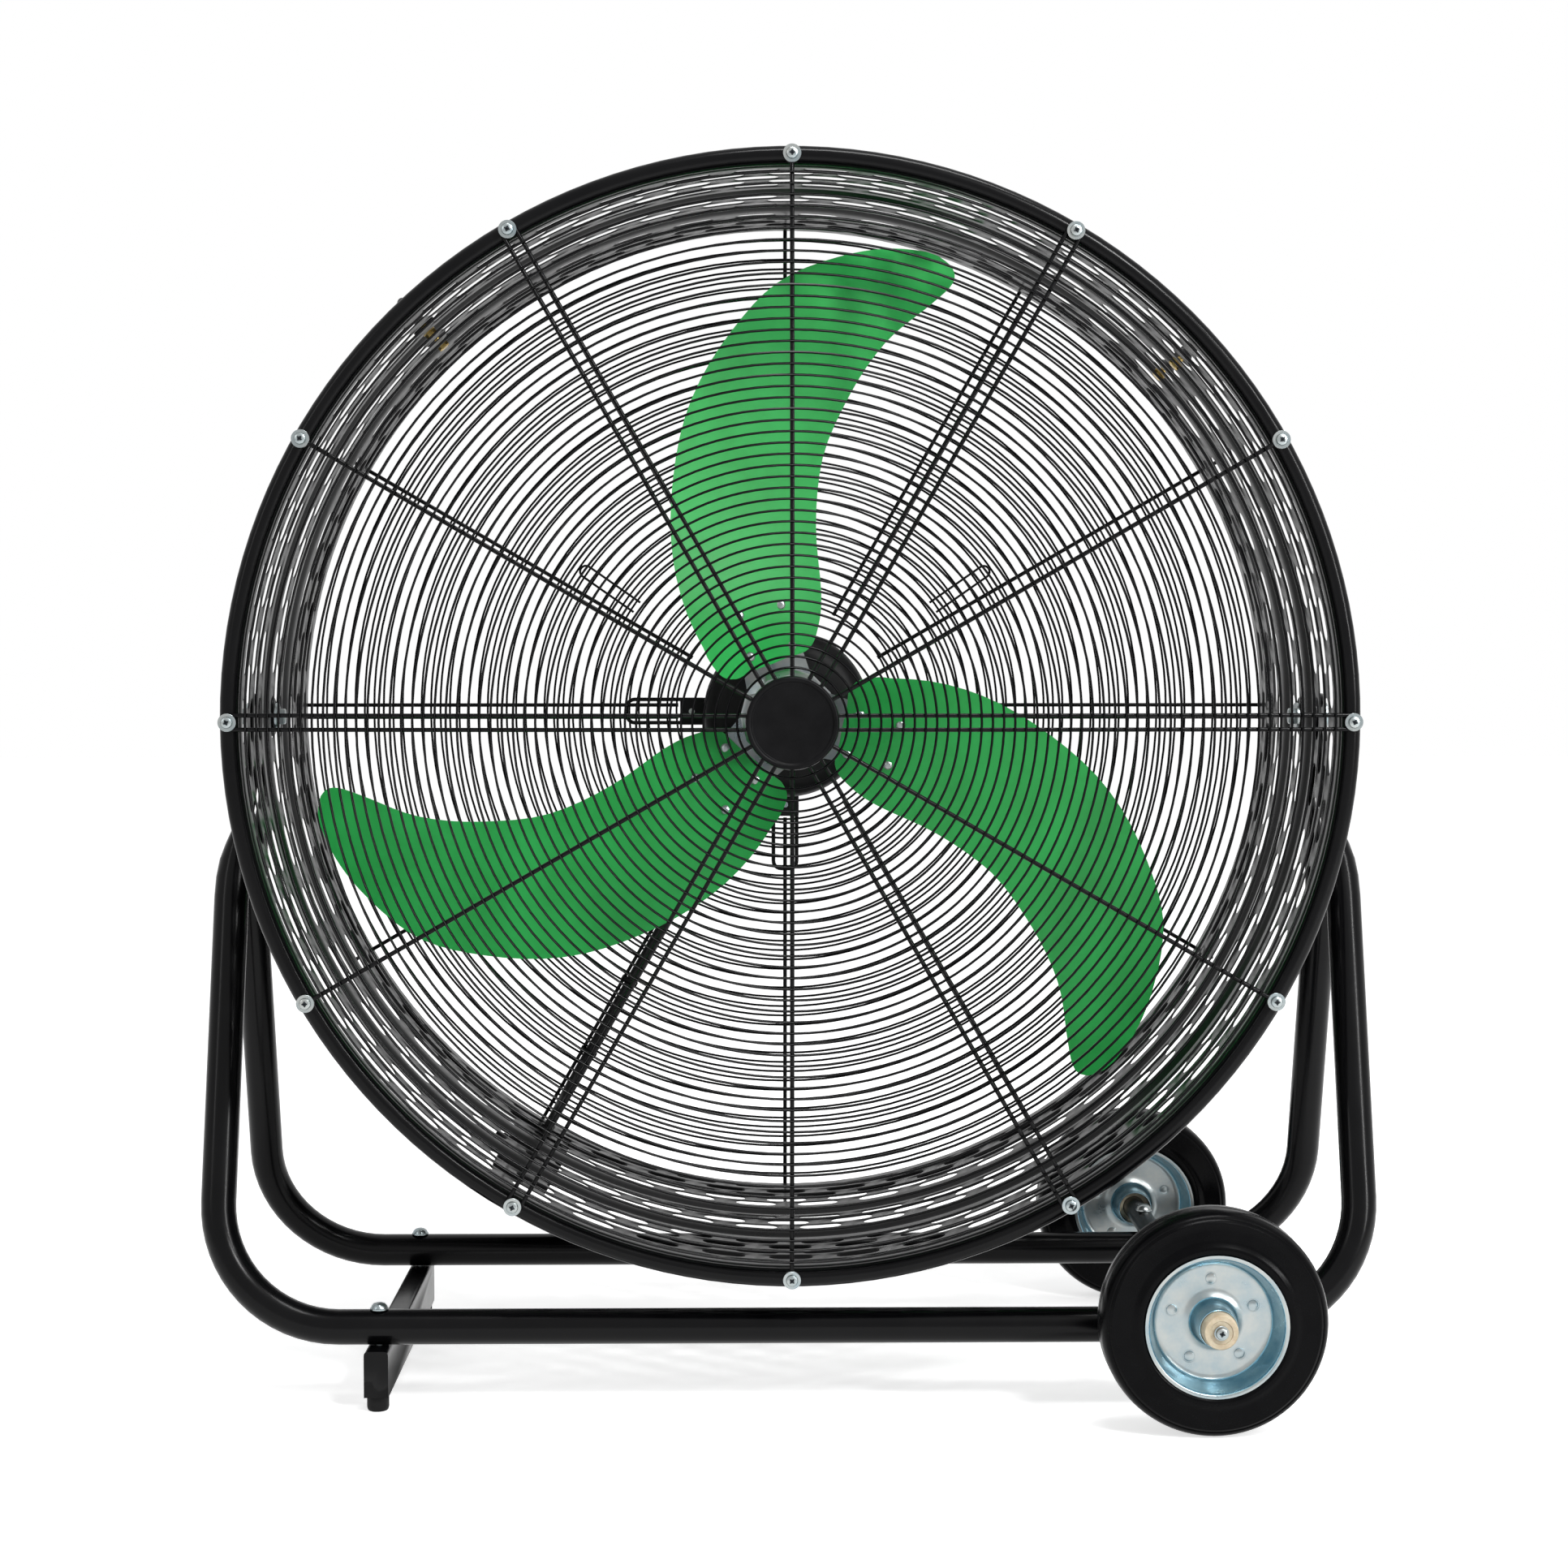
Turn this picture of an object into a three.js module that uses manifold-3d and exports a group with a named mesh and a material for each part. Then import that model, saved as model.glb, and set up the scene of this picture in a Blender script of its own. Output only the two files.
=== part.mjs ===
// A wheeled drum fan: a tilting sheet-steel drum with wire guards, a three-blade rotor on a motor,
// two bent-tube frames, a pair of wheels on one axle and a foot bar with two rubber feet.
// Millimetres. X runs to the right of someone facing the outlet, Y to the back, Z up.
import * as THREE from 'three';
import { mergeVertices } from 'three/addons/utils/BufferGeometryUtils.js';
import Module from 'manifold-3d';

const wasm = await Module();
wasm.setup();

// ---- Driving sizes ----
const SEAT_GAP = 0.3; // between pieces that touch
const RUNNING_GAP = 0.3; // between a bore and what turns or slides in it
const CUT_MARGIN = 1; // by which a cutting tool passes what it cuts

// Sides of what is turned
const HEXAGON = 6;
const ROUND_SMALL = 8;
const ROUND = 12;
const ROUND_LARGE = 20;

// Drum: rolled sheet with a rolled bead at each end and two pressed ribs
const DRUM_BORE = 979;
const DRUM_DEPTH = 404;
const DRUM_SHEET = 1.5;
const DRUM_FLATS = 40;
const BEAD_DIAMETER = 15;
const BEAD_STEPS = 4;
const RIB_HEIGHT = 5;
const RIB_WIDTH = 34;
const RIB_OFFSET = 52; // of each rib's middle from the middle of the drum
const SLOT_LENGTH = 70; // round the drum
const SLOT_WIDTH = 18;
const SLOT_ROW_PITCH = 40;
const PIVOT_HEIGHT = 623;

// Guards: rings welded on spokes
const RING_WIRE = 2.6;
const SPOKE_WIRE = 4;
const PAIR_SPACING = 12.5;
const WELD_SINK = 0.5;
const GUARD_SPOKES = 12;
const GUARD_DOME = 14;
const RING_PITCH = 115; // at most
const RING_SIDES = 24;
const HUB_RING_RADIUS = 24;
const LAST_RING_INSET = 7.8; // from the drum's wall
const EYE_DIAMETER = 16;
const EYE_SINK = 1.5; // of a spoke's end in its eye
const HOOK_LENGTH = 14;
const HOOK_BEND = 2;
const BADGE_DIAMETER = 83;
const BADGE_THICKNESS = 9;
const BADGE_DISH = 2.5;
const BADGE_LIP = 6;
const BADGE_EDGE = 1.5;

// Screws, bolts and nuts
const GUARD_SCREW_DIAMETER = 5.8;
const GUARD_SCREW_LENGTH = 13;
const PAN_HEAD_DIAMETER = 10;
const PAN_HEAD_HEIGHT = 3.4;
const PAN_HEAD_TOP = 0.7; // share of the width that its flat top keeps
const PAN_HEAD_SIDE = 0.6; // share of the height that its side keeps
const WASHER_DIAMETER = 12.8;
const WASHER_THICKNESS = 1.2;
const BOLT_CLEARANCE = 0.4;
const THREAD_END = 2; // of a bolt beyond its nut
const THREAD_SPARE = 4; // of a threaded bore beyond its screw
const FRAME_SCREW_DIAMETER = 6;
const DOME_HEAD_DIAMETER = 14.5;
const DOME_HEAD_HEIGHT = 4.5;
const NUT_DIAMETER = 11.5;
const NUT_HEIGHT = 5;
const PIVOT_BOLT_DIAMETER = 10;
const PIVOT_HEAD_DIAMETER = 17;
const PIVOT_HEAD_HEIGHT = 6.5;
const PIVOT_WASHER_DIAMETER = 26;
const PIVOT_WASHER_THICKNESS = 2.5;
const PIVOT_NUT_HEIGHT = 9;
const FRICTION_WASHER_DIAMETER = 38;
const FRICTION_WASHER_THICKNESS = 8; // holds the frames clear of the drum's ribs

// Frames: round tube, bent to a U and pressed flat at its two ends
const TUBE_DIAMETER = 32;
const TUBE_WALL = 1.8;
const FRAME_WIDTH = 1081;
const FRAME_STANCE = 319; // between the middles of the two bottom tubes
const BEND_RADIUS = 114;
const BEND_STEPS = 4;
const TUBE_SIDES = 8;
const FLAT_THICKNESS = 7;
const FLAT_WIDTH = 44;
const FLAT_END = 86; // below the pivot, where the tube starts to turn round
const ROUND_START = 150;
const INSET_START = 60;
const INSET_END = 172;
const END_TURN = 80; // degrees of the flat end's round that are modelled

// Wheels
const WHEEL_DIAMETER = 200;
const TYRE_WIDTH = 50;
const WHEEL_STEPS = 20;
const BUSH_STEPS = 12;
const RIM_DIAMETER = 126;
const RIM_WIDTH = 54;
const DISC_DIAMETER = 100;
const DISC_THICKNESS = 3;
const RIM_STEP = 3.5; // from the disc's edge to the channel, and from the channel to the lip
const RIM_SHEET = 2.5;
const RIM_LIP = 2.2;
const CHANNEL_HALF = 4;
const TREAD_HALF = 8; // of the tyre's flat tread
const TYRE_SHOULDER = 20;
const TYRE_HOLLOW = 0.6; // of its side at the rim
const HUB_LENGTH = 68;
const HUB_BORE = 31.8;
const HUB_WALL = 1.4; // at the hub's end
const HUB_FOOT_DIAMETER = 38.6; // at the end of the hub's taper
const HUB_FOOT_HEIGHT = 9;
const HUB_FLARE = 8; // from there out to the disc
const RIVET_CIRCLE = 75;
const RIVET_DIAMETER = 9.5;
const RIVET_HEIGHT = 1.8;
const RIM_RIVETS = 5;
const WHEEL_TRACK = 512;
const AXLE_INSET = 42.5; // from the right bend's start
const AXLE_DIAMETER = 22;
const BUSH_NOSE_DIAMETER = 31;
const BUSH_NOSE = 12; // beyond the hub
const BUSH_CHAMFER = 3.5;
const BUSH_END = 3.7;
const BUSH_RECESS = 10;
const AXLE_THREAD_DEPTH = 26;
const AXLE_SCREW_GRIP = 0.6; // share of the tube that the axle's screw goes through

// Foot bar: folded channel with a plugged-in rubber foot at each end
const FOOT_BAR_INSET = 36.5; // from the left bend's start
const FOOT_BAR_LENGTH = 372;
const FOOT_BAR_WIDTH = 22;
const FOOT_BAR_DEPTH = 42;
const FOOT_BAR_WALL = 2;
const FOOT_BAR_CHAMFER = 4;
const FOOT_DIAMETER = 20;
const FOOT_CHAMFER = 1.5;
const FOOT_PLUG = 16;
const FOOT_INSET = 14; // of each foot's middle from the bar's end

// Rotor and motor
const ROTOR_PLANE = -8; // the blades' root line, from the middle of the drum
const ROOT_RADIUS = 66;
const TIP_RADIUS = 466.5;
const BLADE_THICKNESS = 2;
const BLADES = 3;
const ARM_ANGLE = -15; // of the first blade's arm, clockwise from the top
const PITCH_AT_AXIS = 55; // advance per radian
const PITCH_GROWTH = 0.1;
const CAMBER = 0.3;
const SPIDER_DIAMETER = 116;
const SPIDER_DEPTH = 56;
const SPIDER_FACE_DIAMETER = 52;
const SPIDER_BEVEL_DIAMETER = 93;
const SPIDER_BEVEL_DROP = 3;
const SPIDER_CORNER_DROP = 12;
const SPIDER_FLATS = 12;
const ARM_WIDTH = 52;
const ARM_START = 44; // inside the hub
const ARM_REACH = 126;
const ARM_THICKNESS = 3;
const RIVET_ROWS = [70, 111];
const RIVET_SPREAD = 40;
const BLADE_RIVET_DIAMETER = 8;
const BLADE_RIVET_REACH = 6.5; // in front of the root line
const SHAFT_DIAMETER = 16;
const SHAFT_NOSE = 4; // in front of the hub
const SHAFT_DEPTH = 30; // in the motor
const MOTOR_DIAMETER = 165;
const MOTOR_FRONT = 62;
const MOTOR_BOSS_DIAMETER = 53;
const MOTOR_BOSS_HEIGHT = 8;
const MOTOR_BOSS_FLARE = 3.5;
const MOTOR_FACE_DROP = 4;
const MOTOR_CHAMFER = 14;
const MOTOR_CAP_DIAMETER = 150;
const MOTOR_CAP_REACH = 14; // through the rear guard
const LUG_WIDTH = 28;
const LUG_THICKNESS = 6;
const LUG_EDGE = 12; // of metal outside the bolt's middle
const PAD_THICKNESS = 3;
const MOUNT_RING_DIAMETER = 224;
const PRONG_REACH = 165;
const PRONG_WIDTH = 28;
const MOTOR_BOLT_CIRCLE = 192;
const MOTOR_BOLTS = 4;

// Handles, switch box and motor lead
const HANDLE_ANGLES = { left: -43, right: 47.5 }; // clockwise from the top
const HANDLE_SPAN = 2 * RIB_OFFSET;
const HANDLE_REACH = 34;
const HANDLE_DIAMETER = 12;
const HANDLE_FOOT_DIAMETER = 24;
const HANDLE_FOOT_THICKNESS = 3;
const HANDLE_BOLT_DIAMETER = 6;
const HANDLE_BEND = 14;
const HANDLE_THREAD = 0.6; // share of the reach that the bolt is screwed in
const SWITCH_ANGLE = 210;
const SWITCH_WIDTH = 60;
const SWITCH_LENGTH = 86;
const SWITCH_HEIGHT = 44;
const SWITCH_START = 70; // of the box's front face, behind the middle of the drum
const GLAND_DIAMETER = 13;
const GLAND_REACH = 5;
const GLAND_SINK = 4; // in the box
const SADDLE_DEPTH = 5; // of the box's sides, where its foot follows the drum
const SADDLE_SIDES = 96;
const INLET_REACH = 12;
const LEAD_DIAMETER = 8;
const LEAD_STEPS = 18;
const LEAD_EXIT = 49.5; // from the motor's back
const LEAD_TURN = 60; // from the drum's wall to where the lead leaves the guard
const KNOB_DIAMETER = 34;
const KNOB_HEIGHT = 17;
const KNOB_DRAFT = 4;
const KNOB_STEM = 8;
const KNOB_STEM_LENGTH = 10;

// ---- Finishes ----
const paint = (color, roughness, metalness = 0) =>
  new THREE.MeshStandardMaterial({ color, roughness, metalness });
const BLACK_PAINT = paint('#141416', 0.35);
const DRUM_PAINT = paint('#2b2b2d', 0.4);
const GREEN_PAINT = paint('#28b050', 0.45);
const ZINC = paint('#b4bec4', 0.3, 1);
const YELLOW_ZINC = paint('#a88c4e', 0.35, 1);
const RUBBER = paint('#0c0c0d', 0.8);
const BEIGE_PLASTIC = paint('#cdbca0', 0.55);
const BLACK_PLASTIC = paint('#0b0b0c', 0.35);

// ---- Solids ----
const radians = THREE.MathUtils.degToRad;
const blend = THREE.MathUtils.lerp;
const evenly = (count, make) => Array.from({ length: count + 1 }, (_, i) => make(i / count));
const around = (count) => Array.from({ length: count }, (_, i) => (360 * i) / count);
const line = (...pairs) => pairs.map(([x, y]) => new THREE.Vector2(x, y));

// A geometry as a manifold solid, with shared corners and its faces pointing out.
function solid(geometry) {
  const bare = geometry.clone();
  bare.deleteAttribute('normal');
  bare.deleteAttribute('uv');
  const merged = mergeVertices(bare, 1e-4);
  const places = merged.attributes.position.array;
  const corner = (i) => new THREE.Vector3().fromArray(places, 3 * i);
  const triangles = [];
  let volume = 0;
  for (let i = 0; i < merged.index.count; i += 3) {
    const [a, b, c] = merged.index.array.slice(i, i + 3);
    if (a === b || b === c || c === a) continue;
    triangles.push([a, b, c]);
    volume += corner(a).dot(corner(b).cross(corner(c)));
  }
  const outward = volume < 0 ? triangles.map(([a, b, c]) => [a, c, b]) : triangles;
  const mesh = new wasm.Mesh({
    numProp: 3,
    vertProperties: places,
    triVerts: new Uint32Array(outward.flat()),
  });
  return new wasm.Manifold(mesh);
}

const join = (first, ...rest) => rest.reduce((whole, next) => whole.add(next), first);
const cut = (first, ...tools) => tools.reduce((whole, tool) => whole.subtract(tool), first);

// A profile of radius and place turned round the Y axis; a closed one makes a ring.
const turned = (profile, sides, start = 0) =>
  solid(new THREE.LatheGeometry(profile, sides, start));
const ringProfile = (points) => [...points, points[0]];

// A round bar along Y between two places.
const bar = (diameter, from, to, sides = ROUND) =>
  turned(line([0, from], [diameter / 2, from], [diameter / 2, to], [0, to]), sides);

// A tool that cuts a hole, whose stated diameter is across its flats.
const hole = (diameter, from, to, sides = ROUND_SMALL) =>
  bar(diameter / Math.cos(Math.PI / sides), from, to, sides);

const moved = (piece, x, y, z) => piece.translate([x, y, z]);
const alongX = (piece) => piece.rotate([0, 0, -90]);
const alongZ = (piece) => piece.rotate([90, 0, 0]);
const aroundY = (piece, degrees) => piece.rotate([0, degrees, 0]);

function block([x0, y0, z0], [x1, y1, z1]) {
  const box = new THREE.BoxGeometry(x1 - x0, y1 - y0, z1 - z0);
  return solid(box.translate((x0 + x1) / 2, (y0 + y1) / 2, (z0 + z1) / 2));
}

// A closed solid through a row of rings with equal, even point counts. Each end is capped by a
// strip between the ring's two halves, so that the end of a curved sheet is capped true.
function loft(rings) {
  const count = rings[0].length;
  const last = (rings.length - 1) * count;
  const index = [];
  for (let base = 0; base < last; base += count) {
    for (let j = 0; j < count; j++) {
      const a = base + j;
      const b = base + ((j + 1) % count);
      index.push(a, b, b + count, a, b + count, a + count);
    }
  }
  for (let j = 0; j < count / 2 - 1; j++) {
    const across = count - 1 - j;
    index.push(j, across, j + 1, j + 1, across, across - 1);
    index.push(last + j, last + j + 1, last + across);
    index.push(last + j + 1, last + across - 1, last + across);
  }
  const geometry = new THREE.BufferGeometry();
  const places = rings.flat().flatMap((point) => point.toArray());
  geometry.setAttribute('position', new THREE.Float32BufferAttribute(places, 3));
  return solid(geometry.setIndex(index));
}

// A bar swept along points that lie in one plane. Each stop has a point and its half sizes:
// across, in the plane, and deep, along the plane's normal.
function sweep(stops, normal, sides) {
  const rings = stops.map(({ point, across, deep }, i) => {
    const before = stops[Math.max(i - 1, 0)].point;
    const after = stops[Math.min(i + 1, stops.length - 1)].point;
    const side = new THREE.Vector3().subVectors(after, before).cross(normal).normalize();
    return Array.from({ length: sides }, (_, j) => {
      const angle = ((j + 0.5) / sides) * 2 * Math.PI;
      return point.clone()
        .addScaledVector(side, across * Math.cos(angle))
        .addScaledVector(normal, deep * Math.sin(angle));
    });
  });
  return loft(rings);
}

function wire(points, diameter, normal, sides = 4) {
  const half = diameter / 2 / Math.cos(Math.PI / sides);
  return sweep(points.map((point) => ({ point, across: half, deep: half })), normal, sides);
}

// Points on an arc in a plane given by two unit directions.
function arc(centre, radius, u, v, from, to, steps) {
  return evenly(steps, (share) => {
    const angle = radians(blend(from, to, share));
    return centre.clone()
      .addScaledVector(u, radius * Math.cos(angle))
      .addScaledVector(v, radius * Math.sin(angle));
  });
}

// ---- The scene graph ----
const fan = new THREE.Group();
const drum = new THREE.Group();
drum.position.z = PIVOT_HEIGHT;
fan.add(drum);

function addPart(name, piece, material, parent = fan) {
  const { vertProperties, triVerts } = piece.getMesh();
  const geometry = new THREE.BufferGeometry();
  geometry.setAttribute('position', new THREE.BufferAttribute(vertProperties, 3));
  geometry.setIndex(new THREE.BufferAttribute(triVerts, 1));
  geometry.computeVertexNormals();
  const mesh = new THREE.Mesh(geometry, material);
  mesh.name = name;
  parent.add(mesh);
}

// ---- Fasteners, each with its head at -Y, its seat at 0 and its shank towards +Y ----
function panScrew(shank, length) {
  const head = PAN_HEAD_DIAMETER / 2;
  const top = -WASHER_THICKNESS - PAN_HEAD_HEIGHT;
  return turned(line(
    [0, top], [head * PAN_HEAD_TOP, top], [head, top * PAN_HEAD_SIDE], [head, -WASHER_THICKNESS],
    [WASHER_DIAMETER / 2, -WASHER_THICKNESS], [WASHER_DIAMETER / 2, 0],
    [shank / 2, 0], [shank / 2, length], [0, length],
  ), HEXAGON);
}

// A domed screw; with a nut, its nut sits at the end of the shank.
function domeScrew(length, nut) {
  const head = DOME_HEAD_DIAMETER / 2;
  const shank = FRAME_SCREW_DIAMETER / 2;
  const tail = nut
    ? [[shank, length - NUT_HEIGHT], [NUT_DIAMETER / 2, length - NUT_HEIGHT],
      [NUT_DIAMETER / 2, length], [0, length]]
    : [[shank, length], [0, length]];
  const dome = evenly(3, (share) => {
    const angle = radians(90 * share);
    return [head * Math.sin(angle), -DOME_HEAD_HEIGHT * Math.cos(angle)];
  });
  return turned(line(...dome, [shank, 0], ...tail), ROUND_SMALL);
}

function hexBolt(diameter, head, headHeight, washer, washerThickness, length) {
  const hexagon = bar(head, -washerThickness - headHeight, -washerThickness, HEXAGON);
  const shank = turned(line(
    [0, -washerThickness], [washer / 2, -washerThickness], [washer / 2, 0],
    [diameter / 2, 0], [diameter / 2, length], [0, length],
  ), ROUND_SMALL);
  return join(hexagon, shank);
}

// ---- Frames ----
const tubeRadius = TUBE_DIAMETER / 2;
const axleRadius = AXLE_DIAMETER / 2;
const tubeHeight = WHEEL_DIAMETER / 2 - axleRadius - SEAT_GAP - tubeRadius;
const stance = FRAME_STANCE / 2;
const drop = PIVOT_HEIGHT - tubeHeight;
const legLength = Math.hypot(drop, stance);
const legOffset = FRAME_WIDTH / 2 - tubeRadius;
const footBarOffset = legOffset - BEND_RADIUS - FOOT_BAR_INSET;
const wheelOffset = legOffset - BEND_RADIUS - AXLE_INSET;
const wallOutside = DRUM_BORE / 2 + DRUM_SHEET;
const rearFlatOffset = wallOutside + FRICTION_WASHER_THICKNESS + 2 * SEAT_GAP + FLAT_THICKNESS / 2;
const frontFlatOffset = rearFlatOffset + FLAT_THICKNESS + SEAT_GAP;
const smooth = (value, from, to) => THREE.MathUtils.smoothstep(value, from, to);

// The middle line of one frame, in the plane of its tube, from the left end to the right end:
// along is the distance down the leg from the pivot.
function frameStops(flatOffset, down) {
  const place = (x, along) => new THREE.Vector3(x, 0, 0).addScaledVector(down, along);
  const legStop = (along, side) => {
    const round = smooth(along, FLAT_END, ROUND_START);
    const inset = smooth(along, INSET_START, INSET_END);
    return {
      point: place(side * blend(flatOffset, legOffset, inset), along),
      across: blend(FLAT_THICKNESS / 2, tubeRadius, round),
      deep: blend(FLAT_WIDTH / 2, tubeRadius, round),
    };
  };
  const roundEnd = (side) => [3, 2, 1].map((step) => {
    const angle = radians((END_TURN * step) / 3);
    const stop = legStop((-FLAT_WIDTH / 2) * Math.sin(angle), side);
    return { ...stop, deep: (FLAT_WIDTH / 2) * Math.cos(angle) };
  });
  const rounding = [1 / 3, 2 / 3].map((share) => blend(FLAT_END, ROUND_START, share));
  const legPlaces = [0, INSET_START, FLAT_END, ...rounding, ROUND_START, INSET_END];
  const leg = (side) => [...roundEnd(side), ...legPlaces.map((along) => legStop(along, side))];
  const bend = (side) => arc(
    place(side * (legOffset - BEND_RADIUS), legLength - BEND_RADIUS), BEND_RADIUS,
    new THREE.Vector3(side, 0, 0), down, 0, 90, BEND_STEPS,
  ).map((point) => ({ point, across: tubeRadius, deep: tubeRadius }));
  return {
    whole: [...leg(-1), ...bend(-1), ...bend(1).reverse(), ...leg(1).reverse()],
    bore: [legStop(INSET_END, -1), ...bend(-1), ...bend(1).reverse(), legStop(INSET_END, 1)]
      .map(({ point }) => ({ point, across: tubeRadius - TUBE_WALL, deep: tubeRadius - TUBE_WALL })),
  };
}

const screwBore = FRAME_SCREW_DIAMETER + 2 * BOLT_CLEARANCE;
const pivotBore = PIVOT_BOLT_DIAMETER + 2 * BOLT_CLEARANCE;
const crossHole = (diameter, x, y, from, to) =>
  moved(alongZ(hole(diameter, from, to)), x, y, 0);

// One frame. Its lean takes its bottom tube forwards (-1) or backwards (1).
function frame(lean, flatOffset) {
  const down = new THREE.Vector3(0, lean * stance, -drop).normalize();
  const normal = new THREE.Vector3(1, 0, 0).cross(down);
  const { whole, bore } = frameStops(flatOffset, down);
  const tube = cut(
    sweep(whole, normal, TUBE_SIDES), sweep(bore, normal, HEXAGON),
    alongX(hole(pivotBore, -FRAME_WIDTH, FRAME_WIDTH)),
  );
  const footHole = crossHole(screwBore, -footBarOffset, lean * stance, 0, 2 * tubeHeight);
  const axleHole = crossHole(screwBore, wheelOffset, lean * stance, tubeHeight, 2 * tubeHeight);
  return cut(moved(tube, 0, 0, PIVOT_HEIGHT), footHole, axleHole);
}
addPart('front_frame', frame(-1, frontFlatOffset), BLACK_PAINT);
addPart('rear_frame', frame(1, rearFlatOffset), BLACK_PAINT);

// ---- Foot bar, feet and their screws ----
const tubeTop = tubeHeight + tubeRadius;
const barTop = tubeHeight - tubeRadius - SEAT_GAP;
const barBottom = barTop - FOOT_BAR_DEPTH;
const barEnd = FOOT_BAR_LENGTH / 2;

function channelOutline(half, top, chamfer) {
  return line([-half, 0], [-half, top - chamfer], [chamfer - half, top], [half - chamfer, top],
    [half, top - chamfer], [half, 0]);
}

function footBar() {
  const half = FOOT_BAR_WIDTH / 2;
  const outside = channelOutline(half, FOOT_BAR_DEPTH, FOOT_BAR_CHAMFER);
  const inside = channelOutline(half - FOOT_BAR_WALL, FOOT_BAR_DEPTH - FOOT_BAR_WALL,
    FOOT_BAR_CHAMFER - FOOT_BAR_WALL / 2);
  const shape = new THREE.Shape([...outside, ...inside.reverse()]);
  const straight = { depth: FOOT_BAR_LENGTH, bevelEnabled: false };
  const channel = solid(new THREE.ExtrudeGeometry(shape, straight));
  const laid = moved(alongZ(channel), -footBarOffset, barEnd, barBottom);
  const screwHoles = [-stance, stance].map((y) => crossHole(screwBore, -footBarOffset, y, 0, tubeTop));
  return cut(laid, ...screwHoles);
}
addPart('foot_bar', footBar(), BLACK_PAINT);

const footTop = barBottom - SEAT_GAP;
const plugRadius = FOOT_BAR_WIDTH / 2 - FOOT_BAR_WALL - SEAT_GAP;
const footProfile = line([0, 0], [FOOT_DIAMETER / 2 - FOOT_CHAMFER, 0], [FOOT_DIAMETER / 2, FOOT_CHAMFER],
  [FOOT_DIAMETER / 2, footTop], [plugRadius, footTop], [plugRadius, footTop + FOOT_PLUG],
  [0, footTop + FOOT_PLUG]);
const upright = (piece, x, y, z) => moved(alongZ(piece), x, y, z);
const inverted = (piece, x, y, z) => moved(piece.rotate([-90, 0, 0]), x, y, z);
const ends = [['front', -1], ['rear', 1]];
for (const [end, sign] of ends) {
  const foot = turned(footProfile, ROUND);
  addPart(`foot_${end}`, upright(foot, -footBarOffset, sign * (barEnd - FOOT_INSET), 0), RUBBER);
  const grip = tubeTop + SEAT_GAP - barTop + FOOT_BAR_WALL + SEAT_GAP + NUT_HEIGHT;
  const screw = inverted(domeScrew(grip, true), -footBarOffset, sign * stance, tubeTop + SEAT_GAP);
  addPart(`foot_screw_${end}`, screw, ZINC);
}

// ---- Axle and its screws ----
const track = WHEEL_TRACK / 2;
const axleHeight = WHEEL_DIAMETER / 2;
const bushFace = HUB_LENGTH / 2 + BUSH_NOSE;
const axleEnd = track + bushFace - BUSH_END - SEAT_GAP;
const onAxle = (piece, y = 0) => moved(piece, wheelOffset, y, axleHeight);

const axle = cut(
  onAxle(bar(AXLE_DIAMETER, -axleEnd, axleEnd)),
  ...ends.map(([, sign]) => crossHole(screwBore, wheelOffset, sign * stance, 0, 2 * axleHeight)),
  onAxle(hole(screwBore, axleEnd - AXLE_THREAD_DEPTH, 2 * axleEnd)),
  onAxle(hole(screwBore, -2 * axleEnd, AXLE_THREAD_DEPTH - axleEnd)),
);
addPart('axle', axle, BLACK_PAINT);
const axleTop = axleHeight + axleRadius;
for (const [end, sign] of ends) {
  const depth = AXLE_DIAMETER + TUBE_DIAMETER * AXLE_SCREW_GRIP;
  const cross = inverted(domeScrew(depth, false), wheelOffset, sign * stance, axleTop + SEAT_GAP);
  addPart(`axle_screw_${end}`, cross, ZINC);
  const facing = panScrew(FRAME_SCREW_DIAMETER, BUSH_END + AXLE_THREAD_DEPTH - THREAD_SPARE);
  const turnedRound = sign > 0 ? facing.rotate([0, 0, 180]) : facing;
  const face = sign * (track + bushFace + SEAT_GAP);
  addPart(`axle_end_screw_${end}`, onAxle(turnedRound, face), ZINC);
}

// ---- Wheels, turned about Y with their middle at 0 ----
const halfTyre = TYRE_WIDTH / 2;
const rimRadius = RIM_DIAMETER / 2;
const tyreRadius = WHEEL_DIAMETER / 2;
const halfRim = RIM_WIDTH / 2;
const discRadius = DISC_DIAMETER / 2;
const hubFoot = HUB_FOOT_DIAMETER / 2;
const halfDisc = DISC_THICKNESS / 2;
// The seat of the tyre: the outer face of the pressed rim, from its lip to its middle.
const rimSeat = [
  [rimRadius, halfRim - RIM_LIP], [discRadius + RIM_STEP + RIM_SHEET, CHANNEL_HALF],
];
const mirrored = (points) => points.map(([radius, y]) => [radius, -y]).reverse();

function rim() {
  const face = [
    [HUB_BORE / 2, HUB_LENGTH / 2], [HUB_BORE / 2 + HUB_WALL, HUB_LENGTH / 2],
    [hubFoot, HUB_FOOT_HEIGHT], [hubFoot + HUB_FLARE, halfDisc], [discRadius, halfDisc],
    [discRadius + RIM_STEP, CHANNEL_HALF], [rimRadius - RIM_STEP, halfRim], [rimRadius, halfRim],
  ];
  const half = [...face, ...rimSeat];
  const disc = turned(ringProfile(line(...half, ...mirrored(half))), WHEEL_STEPS);
  const rivetEnd = halfDisc + RIVET_HEIGHT;
  const rivet = moved(bar(RIVET_DIAMETER, -rivetEnd, rivetEnd, HEXAGON), 0, 0, RIVET_CIRCLE / 2);
  const rivets = around(RIM_RIVETS).map((angle) => aroundY(rivet, angle));
  return join(disc, ...rivets);
}

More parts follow.
